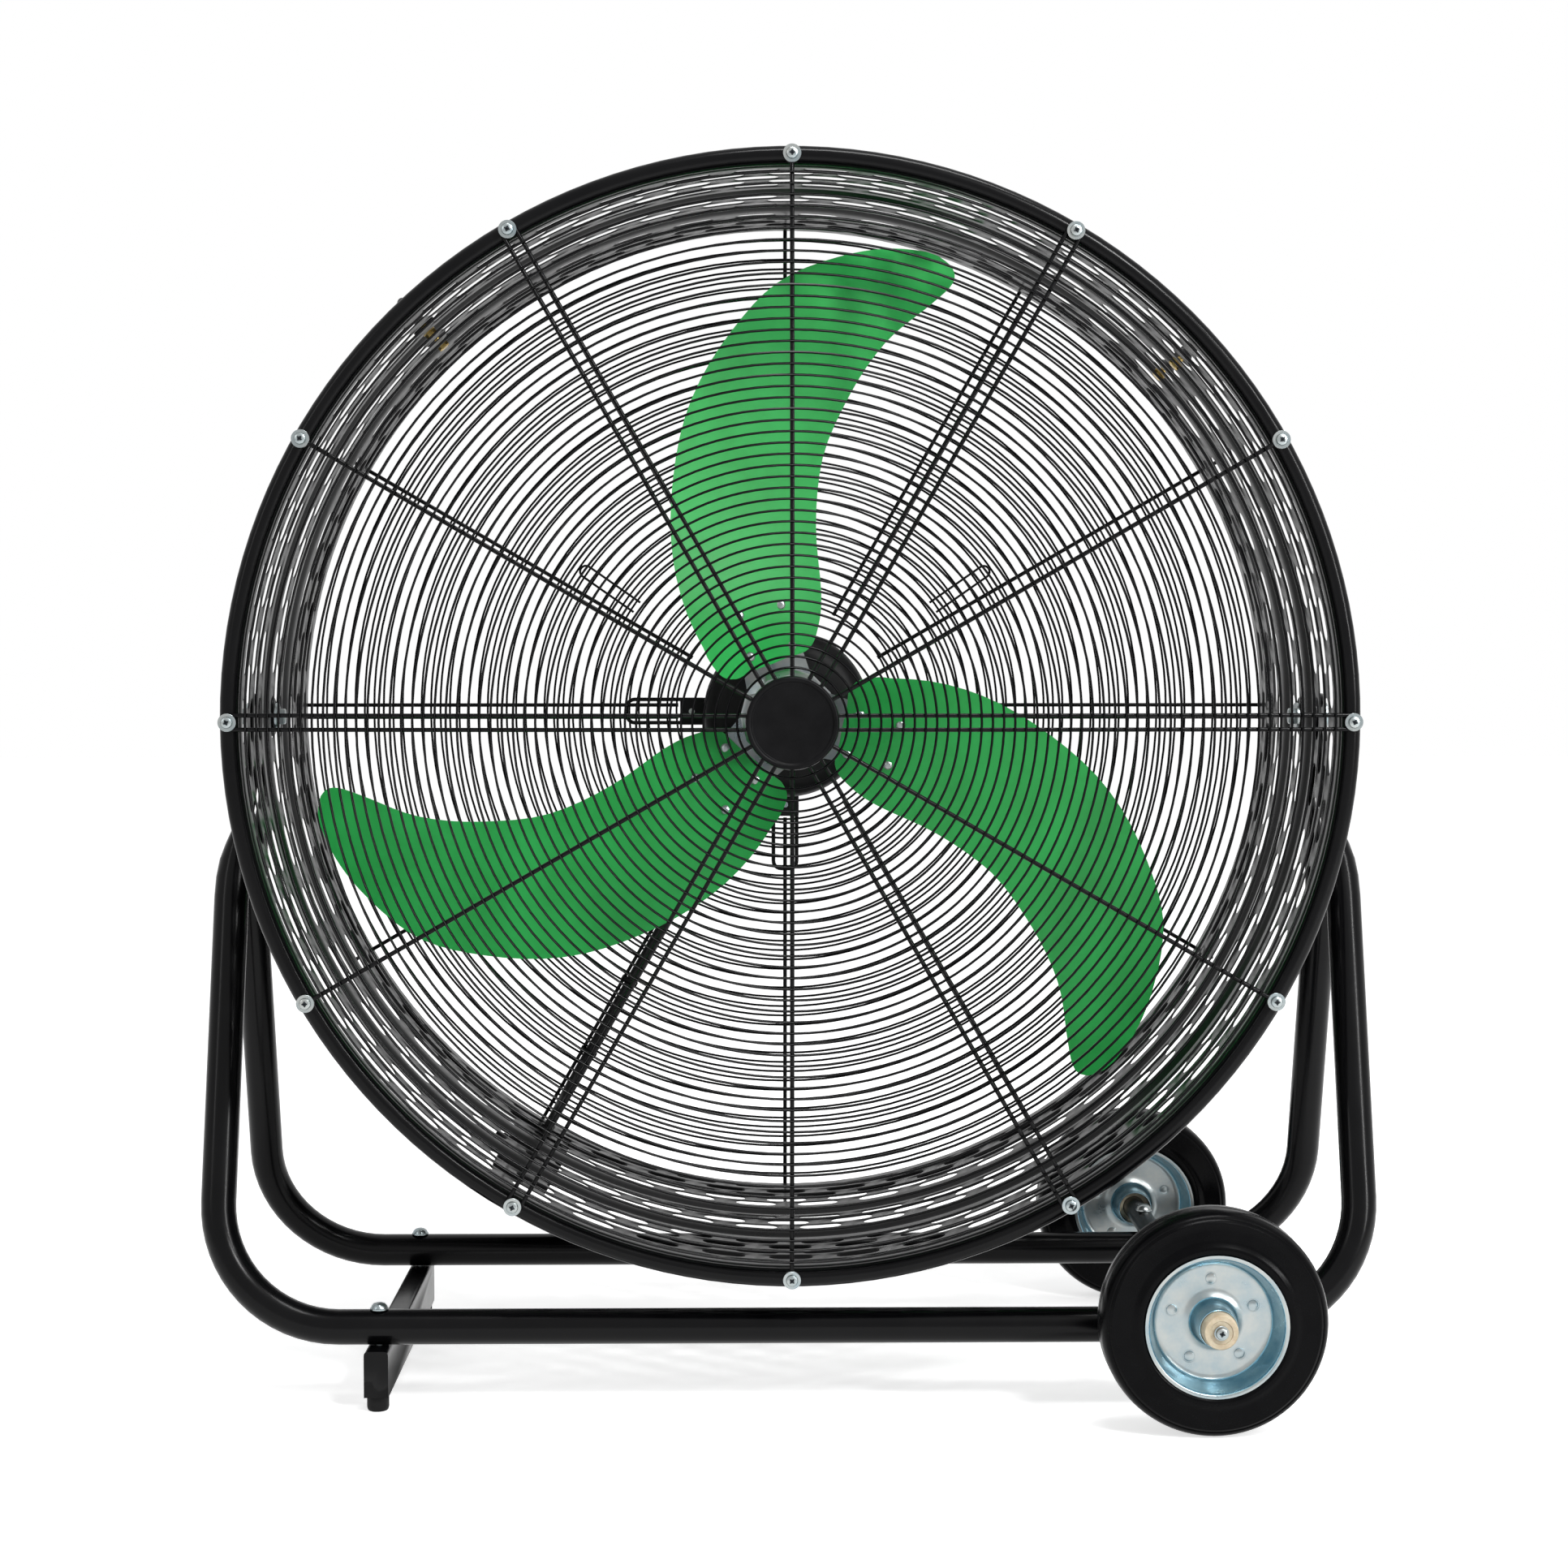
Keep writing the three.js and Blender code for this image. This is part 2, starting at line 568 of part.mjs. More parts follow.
function tyre() {
  const shoulder = evenly(3, (share) => {
    const angle = radians(90 * share);
    const radius = tyreRadius - TYRE_SHOULDER * (1 - Math.cos(angle));
    return [radius, blend(TREAD_HALF, halfTyre, Math.sin(angle))];
  });
  const side = [
    ...shoulder, [rimRadius + SEAT_GAP, halfTyre - TYRE_HOLLOW],
    ...rimSeat.map(([radius, y]) => [radius + SEAT_GAP, y - SEAT_GAP]),
  ];
  return turned(ringProfile(line(...side, ...mirrored(side))), WHEEL_STEPS);
}

// The plastic bush turns on the axle: a sleeve in the hub with a nose that closes its outer end.
function bush(outward) {
  const bore = (axleRadius + RUNNING_GAP) / Math.cos(Math.PI / BUSH_STEPS);
  const sleeve = HUB_BORE / 2 - SEAT_GAP;
  const nose = BUSH_NOSE_DIAMETER / 2;
  const profile = [
    [bore, BUSH_RECESS - HUB_LENGTH / 2], [sleeve, BUSH_RECESS - HUB_LENGTH / 2],
    [sleeve, HUB_LENGTH / 2], [nose, bushFace - BUSH_CHAMFER], [nose - BUSH_CHAMFER, bushFace],
    [screwBore / 2, bushFace], [screwBore / 2, bushFace - BUSH_END], [bore, bushFace - BUSH_END],
  ].map(([radius, y]) => [radius, outward * y]);
  return turned(ringProfile(line(...profile)), BUSH_STEPS);
}
for (const [end, sign] of ends) {
  addPart(`rim_${end}`, onAxle(rim(), sign * track), ZINC);
  addPart(`tyre_${end}`, onAxle(tyre(), sign * track), RUBBER);
  addPart(`bush_${end}`, onAxle(bush(sign), sign * track), BEIGE_PLASTIC);
}

// ---- Drum shell ----
// The shell is turned with flats, and its stated sizes are across those flats.
const flatScale = 1 / Math.cos(Math.PI / DRUM_FLATS);
const boreRadius = DRUM_BORE / 2;
const beadRadius = BEAD_DIAMETER / 2;
const beadMiddle = boreRadius + beadRadius;
const drumFace = DRUM_DEPTH / 2;
const beadPlane = drumFace - beadRadius;

function drumProfile() {
  const ribs = (radius) => [-RIB_OFFSET, RIB_OFFSET].flatMap((middle) => [
    [radius, middle - RIB_WIDTH / 2], [radius + RIB_HEIGHT, middle],
    [radius, middle + RIB_WIDTH / 2],
  ]);
  const joint = 180 - THREE.MathUtils.radToDeg(Math.acos((beadRadius - DRUM_SHEET) / beadRadius));
  const bead = evenly(BEAD_STEPS, (share) => {
    const angle = radians(blend(180, -joint, share));
    return [beadMiddle + beadRadius * Math.cos(angle), beadPlane + beadRadius * Math.sin(angle)];
  });
  const inside = [...ribs(boreRadius), ...bead];
  const outside = ribs(boreRadius + DRUM_SHEET).reverse();
  return [...inside, ...outside, ...mirrored(bead)];
}

const onRadius = (piece, radius, y, angle) => aroundY(moved(piece, 0, y, radius), angle);
const radialHole = (diameter, y, angle, sides = ROUND_SMALL) =>
  onRadius(alongZ(hole(diameter, -BEAD_DIAMETER, BEAD_DIAMETER, sides)), boreRadius, y, angle);
const spokeAngles = around(GUARD_SPOKES);
const guardScrewBore = GUARD_SCREW_DIAMETER + 2 * BOLT_CLEARANCE;
const screwHole = (angle) => onRadius(
  hole(guardScrewBore, -drumFace - CUT_MARGIN, GUARD_SCREW_LENGTH - drumFace, HEXAGON),
  beadMiddle, 0, angle,
);
const handlePlaces = Object.values(HANDLE_ANGLES).flatMap((angle) =>
  [-HANDLE_SPAN / 2, HANDLE_SPAN / 2].map((y) => [angle, y]));
const glandPlace = SWITCH_START + SWITCH_LENGTH - GLAND_DIAMETER;
const handleBore = HANDLE_BOLT_DIAMETER + 2 * BOLT_CLEARANCE;

// Slots in staggered rows, every other flat of the wall: two rows between each rib and its bead
// and one between the ribs. There is none where a pivot or the switch box sits on the wall.
const solidSpots = [
  ...[-90, 90].map((angle) => [angle, 0, FRICTION_WASHER_DIAMETER, FRICTION_WASHER_DIAMETER]),
  [SWITCH_ANGLE, SWITCH_START + SWITCH_LENGTH / 2, SWITCH_WIDTH, SWITCH_LENGTH],
];

function isOpen(angle, y) {
  return solidSpots.every(([spotAngle, spotY, width, length]) => {
    const turn = THREE.MathUtils.euclideanModulo(angle - spotAngle + 180, 360) - 180;
    const isBeside = Math.abs(radians(turn)) * boreRadius > (SLOT_LENGTH + width) / 2;
    return isBeside || Math.abs(y - spotY) > (SLOT_WIDTH + length) / 2;
  });
}

function slots() {
  const band = (RIB_OFFSET + RIB_WIDTH / 2 + drumFace - BEAD_DIAMETER) / 2;
  const half = SLOT_ROW_PITCH / 2;
  const rows = [-band - half, half - band, 0, band - half, band + half];
  const tool = block([-SLOT_LENGTH / 2, -SLOT_WIDTH / 2, boreRadius - CUT_MARGIN],
    [SLOT_LENGTH / 2, SLOT_WIDTH / 2, wallOutside + CUT_MARGIN]);
  const step = 360 / DRUM_FLATS;
  return rows.flatMap((y, row) => around(DRUM_FLATS / 2)
    .map((angle) => (row % 2 ? angle : angle + step))
    .filter((angle) => isOpen(angle, y))
    .map((angle) => onRadius(tool, 0, y, angle)));
}

const drumShell = cut(
  turned(ringProfile(line(...drumProfile().map(([radius, y]) => [radius * flatScale, y]))),
    DRUM_FLATS, Math.PI / DRUM_FLATS),
  ...spokeAngles.map(screwHole),
  ...[-90, 90].map((angle) => radialHole(pivotBore, 0, angle)),
  ...handlePlaces.map(([angle, y]) => radialHole(handleBore, y, angle)),
  radialHole(GLAND_DIAMETER + 2 * BOLT_CLEARANCE, glandPlace, SWITCH_ANGLE, ROUND),
  ...slots(),
);
addPart('drum_shell', drumShell, DRUM_PAINT, drum);

// ---- Pivots: a bolt in the drum wall, a friction washer, the two flat tube ends and a nut ----
const stackEnd = frontFlatOffset + FLAT_THICKNESS / 2 + SEAT_GAP;
for (const [side, sign] of [['left', -1], ['right', 1]]) {
  const outward = (piece) => (sign > 0 ? alongX(piece) : piece.rotate([0, 0, 90]));
  const boltSeat = boreRadius - SEAT_GAP;
  const boltLength = stackEnd + PIVOT_NUT_HEIGHT + THREAD_END - boltSeat;
  const bolt = hexBolt(PIVOT_BOLT_DIAMETER, PIVOT_HEAD_DIAMETER, PIVOT_HEAD_HEIGHT,
    PIVOT_WASHER_DIAMETER, PIVOT_WASHER_THICKNESS, boltLength);
  addPart(`pivot_bolt_${side}`, moved(outward(bolt), sign * boltSeat, 0, 0), ZINC, drum);
  const nut = cut(
    join(bar(PIVOT_WASHER_DIAMETER, 0, PIVOT_WASHER_THICKNESS),
      bar(PIVOT_HEAD_DIAMETER, 0, PIVOT_NUT_HEIGHT, HEXAGON)),
    hole(PIVOT_BOLT_DIAMETER + 2 * RUNNING_GAP, -CUT_MARGIN, PIVOT_NUT_HEIGHT + CUT_MARGIN),
  );
  addPart(`pivot_nut_${side}`, moved(outward(nut), sign * stackEnd, 0, 0), ZINC, drum);
  const washer = cut(
    bar(FRICTION_WASHER_DIAMETER, 0, FRICTION_WASHER_THICKNESS, ROUND_LARGE),
    hole(pivotBore, -CUT_MARGIN, FRICTION_WASHER_THICKNESS + CUT_MARGIN),
  );
  const washerSeat = wallOutside + SEAT_GAP;
  addPart(`friction_washer_${side}`,
    moved(outward(washer), sign * washerSeat, 0, PIVOT_HEIGHT), BLACK_PLASTIC);
}

// ---- Guards. Built facing +Y; the front one is turned round. ----
const spokeInner = drumFace + SEAT_GAP; // the face of the spokes that lies on the bead
const spokeMiddle = spokeInner + SPOKE_WIRE / 2;
const domeAt = (radius, dome) => dome * (1 - (radius / beadMiddle) ** 2);
const ringLift = SPOKE_WIRE / 2 + RING_WIRE / 2 - WELD_SINK;

function guardRing(radius, dome) {
  const half = RING_WIRE / 2;
  const y = spokeMiddle + domeAt(radius, dome) + ringLift;
  const section = line([radius - half, y - half], [radius + half, y - half],
    [radius + half, y + half], [radius - half, y + half]);
  return turned(ringProfile(section), RING_SIDES, Math.PI / RING_SIDES);
}

// Straight in plan, following the dome; an offset makes one wire of a pair.
function spoke(from, to, offset, dome) {
  const points = evenly(dome ? 3 : 1, (share) => {
    const radius = blend(from, to, share);
    return new THREE.Vector3(offset, spokeMiddle + domeAt(radius, dome), radius);
  });
  return wire(points, SPOKE_WIRE, new THREE.Vector3(1, 0, 0));
}

// Every other spoke is a pair of wires, starting with a single one at the top.
function spokes(from, to, dome) {
  return spokeAngles.flatMap((angle, i) => {
    const offsets = i % 2 ? [-PAIR_SPACING / 2, PAIR_SPACING / 2] : [0];
    return offsets.map((offset) => aroundY(spoke(from, to, offset, dome), angle));
  });
}

function eye(angle) {
  const disc = bar(EYE_DIAMETER + PAIR_SPACING / 4, spokeInner, spokeInner + SPOKE_WIRE, ROUND_SMALL);
  const middle = hole(guardScrewBore, 0, 2 * spokeInner, HEXAGON);
  return onRadius(cut(disc, middle), beadMiddle, 0, angle);
}

// Radii of the rings from a given one out, evenly spaced, no further apart than the ring pitch.
const ringRadii = (inner) => {
  const outermost = boreRadius - LAST_RING_INSET;
  const count = Math.ceil((outermost - inner) / RING_PITCH);
  return evenly(count, (share) => blend(inner, outermost, share));
};

const eyeInner = beadMiddle - EYE_DIAMETER / 2;
const frontGuard = join(
  ...spokes(HUB_RING_RADIUS, eyeInner + EYE_SINK, GUARD_DOME),
  ...spokeAngles.map(eye),
  ...ringRadii(HUB_RING_RADIUS).map((radius) => guardRing(radius, GUARD_DOME)),
);
addPart('front_guard', frontGuard.rotate([0, 0, 180]), BLACK_PAINT, drum);

for (const [i, angle] of spokeAngles.entries()) {
  const seat = -(spokeInner + SPOKE_WIRE + SEAT_GAP);
  const screw = moved(panScrew(GUARD_SCREW_DIAMETER, GUARD_SCREW_LENGTH), 0, seat, beadMiddle);
  const number = String(i + 1).padStart(2, '0');
  addPart(`guard_screw_${number}`, aroundY(screw, angle), ZINC, drum);
}

function badge() {
  const crown = spokeMiddle + domeAt(0, GUARD_DOME);
  const back = crown + ringLift + RING_WIRE / 2 + SEAT_GAP;
  const face = back + BADGE_THICKNESS;
  const radius = BADGE_DIAMETER / 2;
  const boss = (HUB_RING_RADIUS - RING_WIRE / 2) * Math.cos(Math.PI / RING_SIDES) - SEAT_GAP;
  return turned(line(
    [0, crown], [boss, crown], [boss, back], [radius - BADGE_EDGE, back],
    [radius, back + BADGE_EDGE], [radius - BADGE_EDGE, face],
    [radius - BADGE_LIP, face - BADGE_DISH], [0, face - BADGE_DISH],
  ), ROUND_LARGE);
}
// The spokes stop short of the badge's boss, which plugs the guard's smallest ring.
addPart('guard_badge', badge().rotate([0, 0, 180]), BLACK_PLASTIC, drum);

// The rear guard also carries the motor, on four pads held by hairpin prongs, and its single
// spokes hook over the bead.
const mountRing = MOUNT_RING_DIAMETER / 2;
const boltReach = MOTOR_BOLT_CIRCLE / 2;
const padBack = spokeInner + WELD_SINK;
const padFront = padBack - PAD_THICKNESS;
const motorBolts = around(MOTOR_BOLTS);
const motorBoltHole = (from, to) => motorBolts.map((angle) =>
  onRadius(hole(screwBore, from, to, HEXAGON), boltReach, 0, angle));

function hook(angle) {
  const outer = (beadMiddle + beadRadius) * flatScale + SEAT_GAP + SPOKE_WIRE / 2;
  const points = [
    new THREE.Vector3(0, spokeMiddle, beadMiddle - beadRadius),
    new THREE.Vector3(0, spokeMiddle, outer - HOOK_BEND),
    new THREE.Vector3(0, spokeMiddle - HOOK_BEND, outer),
    new THREE.Vector3(0, spokeMiddle - HOOK_LENGTH, outer),
  ];
  return aroundY(wire(points, SPOKE_WIRE, new THREE.Vector3(1, 0, 0)), angle);
}

// A pad for one of the motor's bolts, on a hairpin that crosses the inner spoke.
function prong() {
  const pad = block([-PRONG_WIDTH / 2, padFront, boltReach - LUG_EDGE],
    [PRONG_WIDTH / 2, padBack, boltReach + LUG_EDGE]);
  const leg = (x) => spoke(boltReach - LUG_EDGE, PRONG_REACH, x, 0);
  const inside = PRONG_WIDTH / 2 - SPOKE_WIRE / 2;
  const end = block([-inside, spokeInner, PRONG_REACH - SPOKE_WIRE],
    [inside, spokeInner + SPOKE_WIRE, PRONG_REACH]);
  return join(pad, leg(-inside), leg(inside), end);
}

const rearGuard = cut(
  join(
    ...spokes(mountRing - SPOKE_WIRE / 2, beadMiddle, 0),
    ...motorBolts.map((angle) => aroundY(prong(), angle)),
    ...spokeAngles.filter((_, i) => i % 2 === 0).map(hook),
    ...ringRadii(mountRing).map((radius) => guardRing(radius, 0)),
  ),
  ...motorBoltHole(padFront - CUT_MARGIN, padBack + CUT_MARGIN),
);
addPart('rear_guard', rearGuard, BLACK_PAINT, drum);

// ---- Motor ----
const motorBack = padFront - SEAT_GAP;
const motorRadius = MOTOR_DIAMETER / 2;
const shaftBore = SHAFT_DIAMETER + 2 * RUNNING_GAP;
const shaftEnd = MOTOR_FRONT + SHAFT_DEPTH;

function motor() {
  const cap = MOTOR_CAP_DIAMETER / 2;
  const boss = MOTOR_BOSS_DIAMETER / 2;
  const face = MOTOR_FRONT + MOTOR_BOSS_HEIGHT;
  const shoulder = face + MOTOR_FACE_DROP;
  const body = turned(line(
    [0, MOTOR_FRONT], [boss, MOTOR_FRONT], [boss + MOTOR_BOSS_FLARE, face],
    [motorRadius - MOTOR_CHAMFER, shoulder], [motorRadius, shoulder + MOTOR_CHAMFER],
    [motorRadius, motorBack], [cap, motorBack], [cap, motorBack + MOTOR_CAP_REACH],
    [0, motorBack + MOTOR_CAP_REACH],
  ), ROUND_LARGE);
  const lug = block([-LUG_WIDTH / 2, motorBack - LUG_THICKNESS, motorRadius - LUG_EDGE],
    [LUG_WIDTH / 2, motorBack, boltReach + LUG_EDGE]);
  return cut(
    join(body, ...motorBolts.map((angle) => aroundY(lug, angle))),
    hole(shaftBore, MOTOR_FRONT - CUT_MARGIN, shaftEnd + SEAT_GAP, ROUND),
    ...motorBoltHole(motorBack - LUG_THICKNESS - CUT_MARGIN, motorBack + CUT_MARGIN),
  );
}
addPart('motor', motor(), BLACK_PAINT, drum);

// Each motor bolt, with its nut, clamps one of the motor's lugs to its pad.
motorBolts.forEach((angle, i) => {
  const grip = padBack - motorBack + LUG_THICKNESS + 2 * SEAT_GAP;
  const head = bar(NUT_DIAMETER, 0, NUT_HEIGHT, HEXAGON);
  const nut = bar(NUT_DIAMETER, -grip - NUT_HEIGHT, -grip, HEXAGON);
  const shank = bar(FRAME_SCREW_DIAMETER, -grip - NUT_HEIGHT - THREAD_END, WELD_SINK, HEXAGON);
  const bolt = join(head, nut, shank);
  addPart(`motor_bolt_${i + 1}`, onRadius(bolt, boltReach, padBack + SEAT_GAP, angle), ZINC, drum);
});

// ---- Rotor ----
// Edges of the blade at the top: share of the way from root to tip, then the trailing and the
// leading edge, both in degrees clockwise from the top as seen from the outlet.
const bladeEdges = new THREE.CatmullRomCurve3([
  [0, -57.5, 27.5], [0.11, -49.5, 17], [0.26, -38.7, 9.3], [0.435, -27.4, 7.5],
  [0.61, -17.7, 10.7], [0.76, -8.5, 14.6], [0.87, -1.2, 18.8], [0.945, 7, 20.9],
  [0.985, 12.4, 20.3], [1, 16.6, 18.2],
].map(([share, trailing, leading]) =>
  new THREE.Vector3(blend(ROOT_RADIUS, TIP_RADIUS, share), trailing, leading)));

// The blades' sheet is a screw surface, pressed to a slight camber.
function sheetPlace(radius, degrees) {
  const turn = radians(degrees - ARM_ANGLE);
  const advance = (PITCH_AT_AXIS + PITCH_GROWTH * radius) * (turn - CAMBER * turn * turn);
  return new THREE.Vector3(
    radius * Math.sin(radians(degrees)), ROTOR_PLANE + advance, radius * Math.cos(radians(degrees)),
  );
}

// A closed sheet over rows of points on the screw surface, between two offsets along Y.
function pressedSheet(rows, front, back) {
  const rings = rows.map((row) => [
    ...row.map((point) => point.clone().add(new THREE.Vector3(0, front, 0))),
    ...row.toReversed().map((point) => point.clone().add(new THREE.Vector3(0, back, 0))),
  ]);
  return loft(rings);
}

const bladeRow = ({ x: radius, y: trailing, z: leading }) =>
  evenly(4, (across) => sheetPlace(radius, blend(trailing, leading, across)));
const bladeRows = evenly(10, (share) => bladeRow(bladeEdges.getPoint(share)));
const rivetPlaces = RIVET_ROWS.flatMap((reach) => [-1, 1].map((side) => {
  const half = (side * RIVET_SPREAD) / 2;
  const degrees = ARM_ANGLE + THREE.MathUtils.radToDeg(Math.atan2(half, reach));
  return sheetPlace(Math.hypot(reach, half), degrees);
}));
const atRivets = (make) => rivetPlaces.map((place) => moved(make(), place.x, place.y, place.z));
const armFront = BLADE_THICKNESS + SEAT_GAP;

// The arm repeats the blade's own facets behind it, in reverse order so that the two sheets'
// facing sides match, and carries them on into the hub.
function spiderArm() {
  const innermost = bladeRow(bladeEdges.getPoint(0).setX(ARM_START));
  const rows = [innermost, ...bladeRows.slice(0, 3)].map((row) => row.toReversed());
  const sheet = pressedSheet(rows, armFront, armFront + ARM_THICKNESS);
  const outline = block([-ARM_WIDTH / 2, -SPIDER_DIAMETER, ARM_START + CUT_MARGIN],
    [ARM_WIDTH / 2, SPIDER_DIAMETER, ARM_REACH]);
  const strap = sheet.intersect(aroundY(outline, ARM_ANGLE));
  // Each rivet stands up from the arm, through the blade, to its front.
  const rivets = atRivets(() =>
    bar(BLADE_RIVET_DIAMETER, -BLADE_RIVET_REACH, armFront + ARM_THICKNESS / 2, HEXAGON));
  return join(strap, ...rivets);
}

function blade() {
  const bore = BLADE_RIVET_DIAMETER + 2 * BOLT_CLEARANCE;
  const reach = 2 * BLADE_RIVET_REACH;
  return cut(
    pressedSheet(bladeRows, 0, BLADE_THICKNESS),
    ...atRivets(() => hole(bore, -reach, reach, HEXAGON)),
  );
}

const spiderRadius = SPIDER_DIAMETER / 2;
const spiderFront = ROTOR_PLANE - SPIDER_DEPTH / 2;
const spiderBack = ROTOR_PLANE + SPIDER_DEPTH / 2;
const bladeTurns = around(BLADES);
const spiderHub = turned(line(
  [0, spiderFront], [SPIDER_FACE_DIAMETER / 2, spiderFront],
  [SPIDER_BEVEL_DIAMETER / 2, spiderFront + SPIDER_BEVEL_DROP],
  [spiderRadius, spiderFront + SPIDER_CORNER_DROP], [spiderRadius, spiderBack], [0, spiderBack],
), SPIDER_FLATS);
const spider = cut(
  join(spiderHub, ...bladeTurns.map((turn) => aroundY(spiderArm(), turn))),
  hole(shaftBore, spiderFront - CUT_MARGIN, spiderBack + CUT_MARGIN, ROUND),
);
addPart('spider', spider, ZINC, drum);
bladeTurns.forEach((turn, i) => {
  addPart(`blade_${i + 1}`, aroundY(blade(), turn), GREEN_PAINT, drum);
});
addPart('rotor_shaft', bar(SHAFT_DIAMETER, spiderFront - SHAFT_NOSE, shaftEnd), ZINC, drum);

// ---- Handles, bolted through the crests of the drum's ribs ----
const handleSeat = (wallOutside + RIB_HEIGHT) * flatScale + SEAT_GAP;

function handle() {
  const half = HANDLE_SPAN / 2;
  const radius = HANDLE_DIAMETER / 2;
  const grip = handleSeat + HANDLE_REACH;
  const across = new THREE.Vector3(0, 1, 0);
  const outward = new THREE.Vector3(0, 0, 1);
  const corner = (sign) => new THREE.Vector3(0, sign * (half - HANDLE_BEND), grip - HANDLE_BEND);
  const rodStart = handleSeat + HANDLE_FOOT_THICKNESS / 2;
  const points = [
    new THREE.Vector3(0, -half, rodStart),
    ...arc(corner(-1), HANDLE_BEND, across, outward, 180, 90, 3),
    ...arc(corner(1), HANDLE_BEND, across, outward, 90, 0, 3),
    new THREE.Vector3(0, half, rodStart),
  ];
  const rod = wire(points, HANDLE_DIAMETER, new THREE.Vector3(1, 0, 0), HEXAGON);
  const foot = alongZ(bar(HANDLE_FOOT_DIAMETER, handleSeat, handleSeat + HANDLE_FOOT_THICKNESS));
  const threadBore = HANDLE_BOLT_DIAMETER + 2 * RUNNING_GAP;
  const thread = alongZ(hole(threadBore, handleSeat - CUT_MARGIN, grip - radius));
  const atBoth = (piece) => [-half, half].map((y) => moved(piece, 0, y, 0));
  return cut(join(rod, ...atBoth(foot)), ...atBoth(thread));
}
for (const [side, angle] of Object.entries(HANDLE_ANGLES)) {
  addPart(`handle_${side}`, aroundY(handle(), angle), BLACK_PLASTIC, drum);
}
handlePlaces.forEach(([angle, y], i) => {
  const seat = boreRadius + RIB_HEIGHT * (1 - WASHER_DIAMETER / RIB_WIDTH) - SEAT_GAP;
  const length = handleSeat + HANDLE_REACH * HANDLE_THREAD - seat;
  const bolt = hexBolt(HANDLE_BOLT_DIAMETER, NUT_DIAMETER, NUT_HEIGHT, WASHER_DIAMETER,
    WASHER_THICKNESS, length);
  addPart(`handle_bolt_${i + 1}`, onRadius(alongZ(bolt), seat, y, angle), YELLOW_ZINC, drum);
});

// ---- Switch box on the drum wall, its knob and the motor lead ----
const switchBack = SWITCH_START + SWITCH_LENGTH;
const switchTop = wallOutside + SWITCH_HEIGHT;
const knobRadius = wallOutside + SWITCH_HEIGHT / 2;

function switchBox() {
  const half = SWITCH_WIDTH / 2;
  const box = block([-half, SWITCH_START, wallOutside - SADDLE_DEPTH], [half, switchBack, switchTop]);
  const wallDiameter = 2 * (wallOutside + 2 * SEAT_GAP) * flatScale;
  const wall = bar(wallDiameter, SWITCH_START - CUT_MARGIN, switchBack + CUT_MARGIN, SADDLE_SIDES);
  const glandBar = alongZ(bar(GLAND_DIAMETER, -DRUM_SHEET - GLAND_REACH, GLAND_SINK));
  const gland = moved(glandBar, 0, glandPlace, wallOutside);
  // The gland on the box's side is the mains inlet.
  const inletBar = alongX(bar(GLAND_DIAMETER, -CUT_MARGIN, INLET_REACH));
  const inlet = moved(inletBar, half, SWITCH_START + SWITCH_LENGTH / 2, knobRadius);
  const stemBottom = switchBack - KNOB_STEM_LENGTH - 2 * SEAT_GAP;
  const stemHole = hole(KNOB_STEM + 2 * RUNNING_GAP, stemBottom, switchBack + CUT_MARGIN);
  return cut(join(cut(box, wall), gland, inlet), moved(stemHole, 0, 0, knobRadius));
}
addPart('switch_box', aroundY(switchBox(), SWITCH_ANGLE), BLACK_PLASTIC, drum);

function speedKnob() {
  const face = switchBack + SEAT_GAP;
  const radius = KNOB_DIAMETER / 2;
  const grip = turned(line(
    [0, face], [radius, face], [radius - KNOB_DRAFT, face + KNOB_HEIGHT], [0, face + KNOB_HEIGHT],
  ), ROUND_LARGE);
  const stem = bar(KNOB_STEM, switchBack - KNOB_STEM_LENGTH, face + WELD_SINK);
  return moved(join(grip, stem), 0, 0, knobRadius);
}
addPart('speed_knob', aroundY(speedKnob(), SWITCH_ANGLE), BLACK_PLASTIC, drum);

// The lead leaves the motor's side, runs out along a pair of spokes and ends at the gland.
function motorLead() {
  const onGuard = spokeInner - LEAD_DIAMETER / 2 - 3 * SEAT_GAP;
  const glandEnd = boreRadius - GLAND_REACH - SEAT_GAP;
  const leadExit = motorBack - LEAD_EXIT;
  const turning = (share, part) => [boreRadius - LEAD_TURN * share, blend(onGuard, glandPlace, part)];
  const lead = new THREE.CatmullRomCurve3([
    [motorRadius + SEAT_GAP, leadExit], [motorRadius + 2.5 * LEAD_DIAMETER, leadExit],
    [mountRing + 2 * LEAD_DIAMETER, blend(leadExit, onGuard, 1 / 3)],
    ...evenly(3, (share) => [
      blend(mountRing + 6 * LEAD_DIAMETER, boreRadius - LEAD_TURN, share), onGuard,
    ]),
    turning(0.58, 0.3), turning(0.44, 0.67), turning(0.33, 0.96), [glandEnd, glandPlace],
  ].map(([radius, y]) => new THREE.Vector3(0, y, radius)));
  return wire(lead.getPoints(LEAD_STEPS), LEAD_DIAMETER, new THREE.Vector3(1, 0, 0), HEXAGON);
}
addPart('motor_lead', aroundY(motorLead(), SWITCH_ANGLE), RUBBER, drum);

export default fan;
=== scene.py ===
import math

import bmesh
import bpy
from mathutils import Matrix, Vector


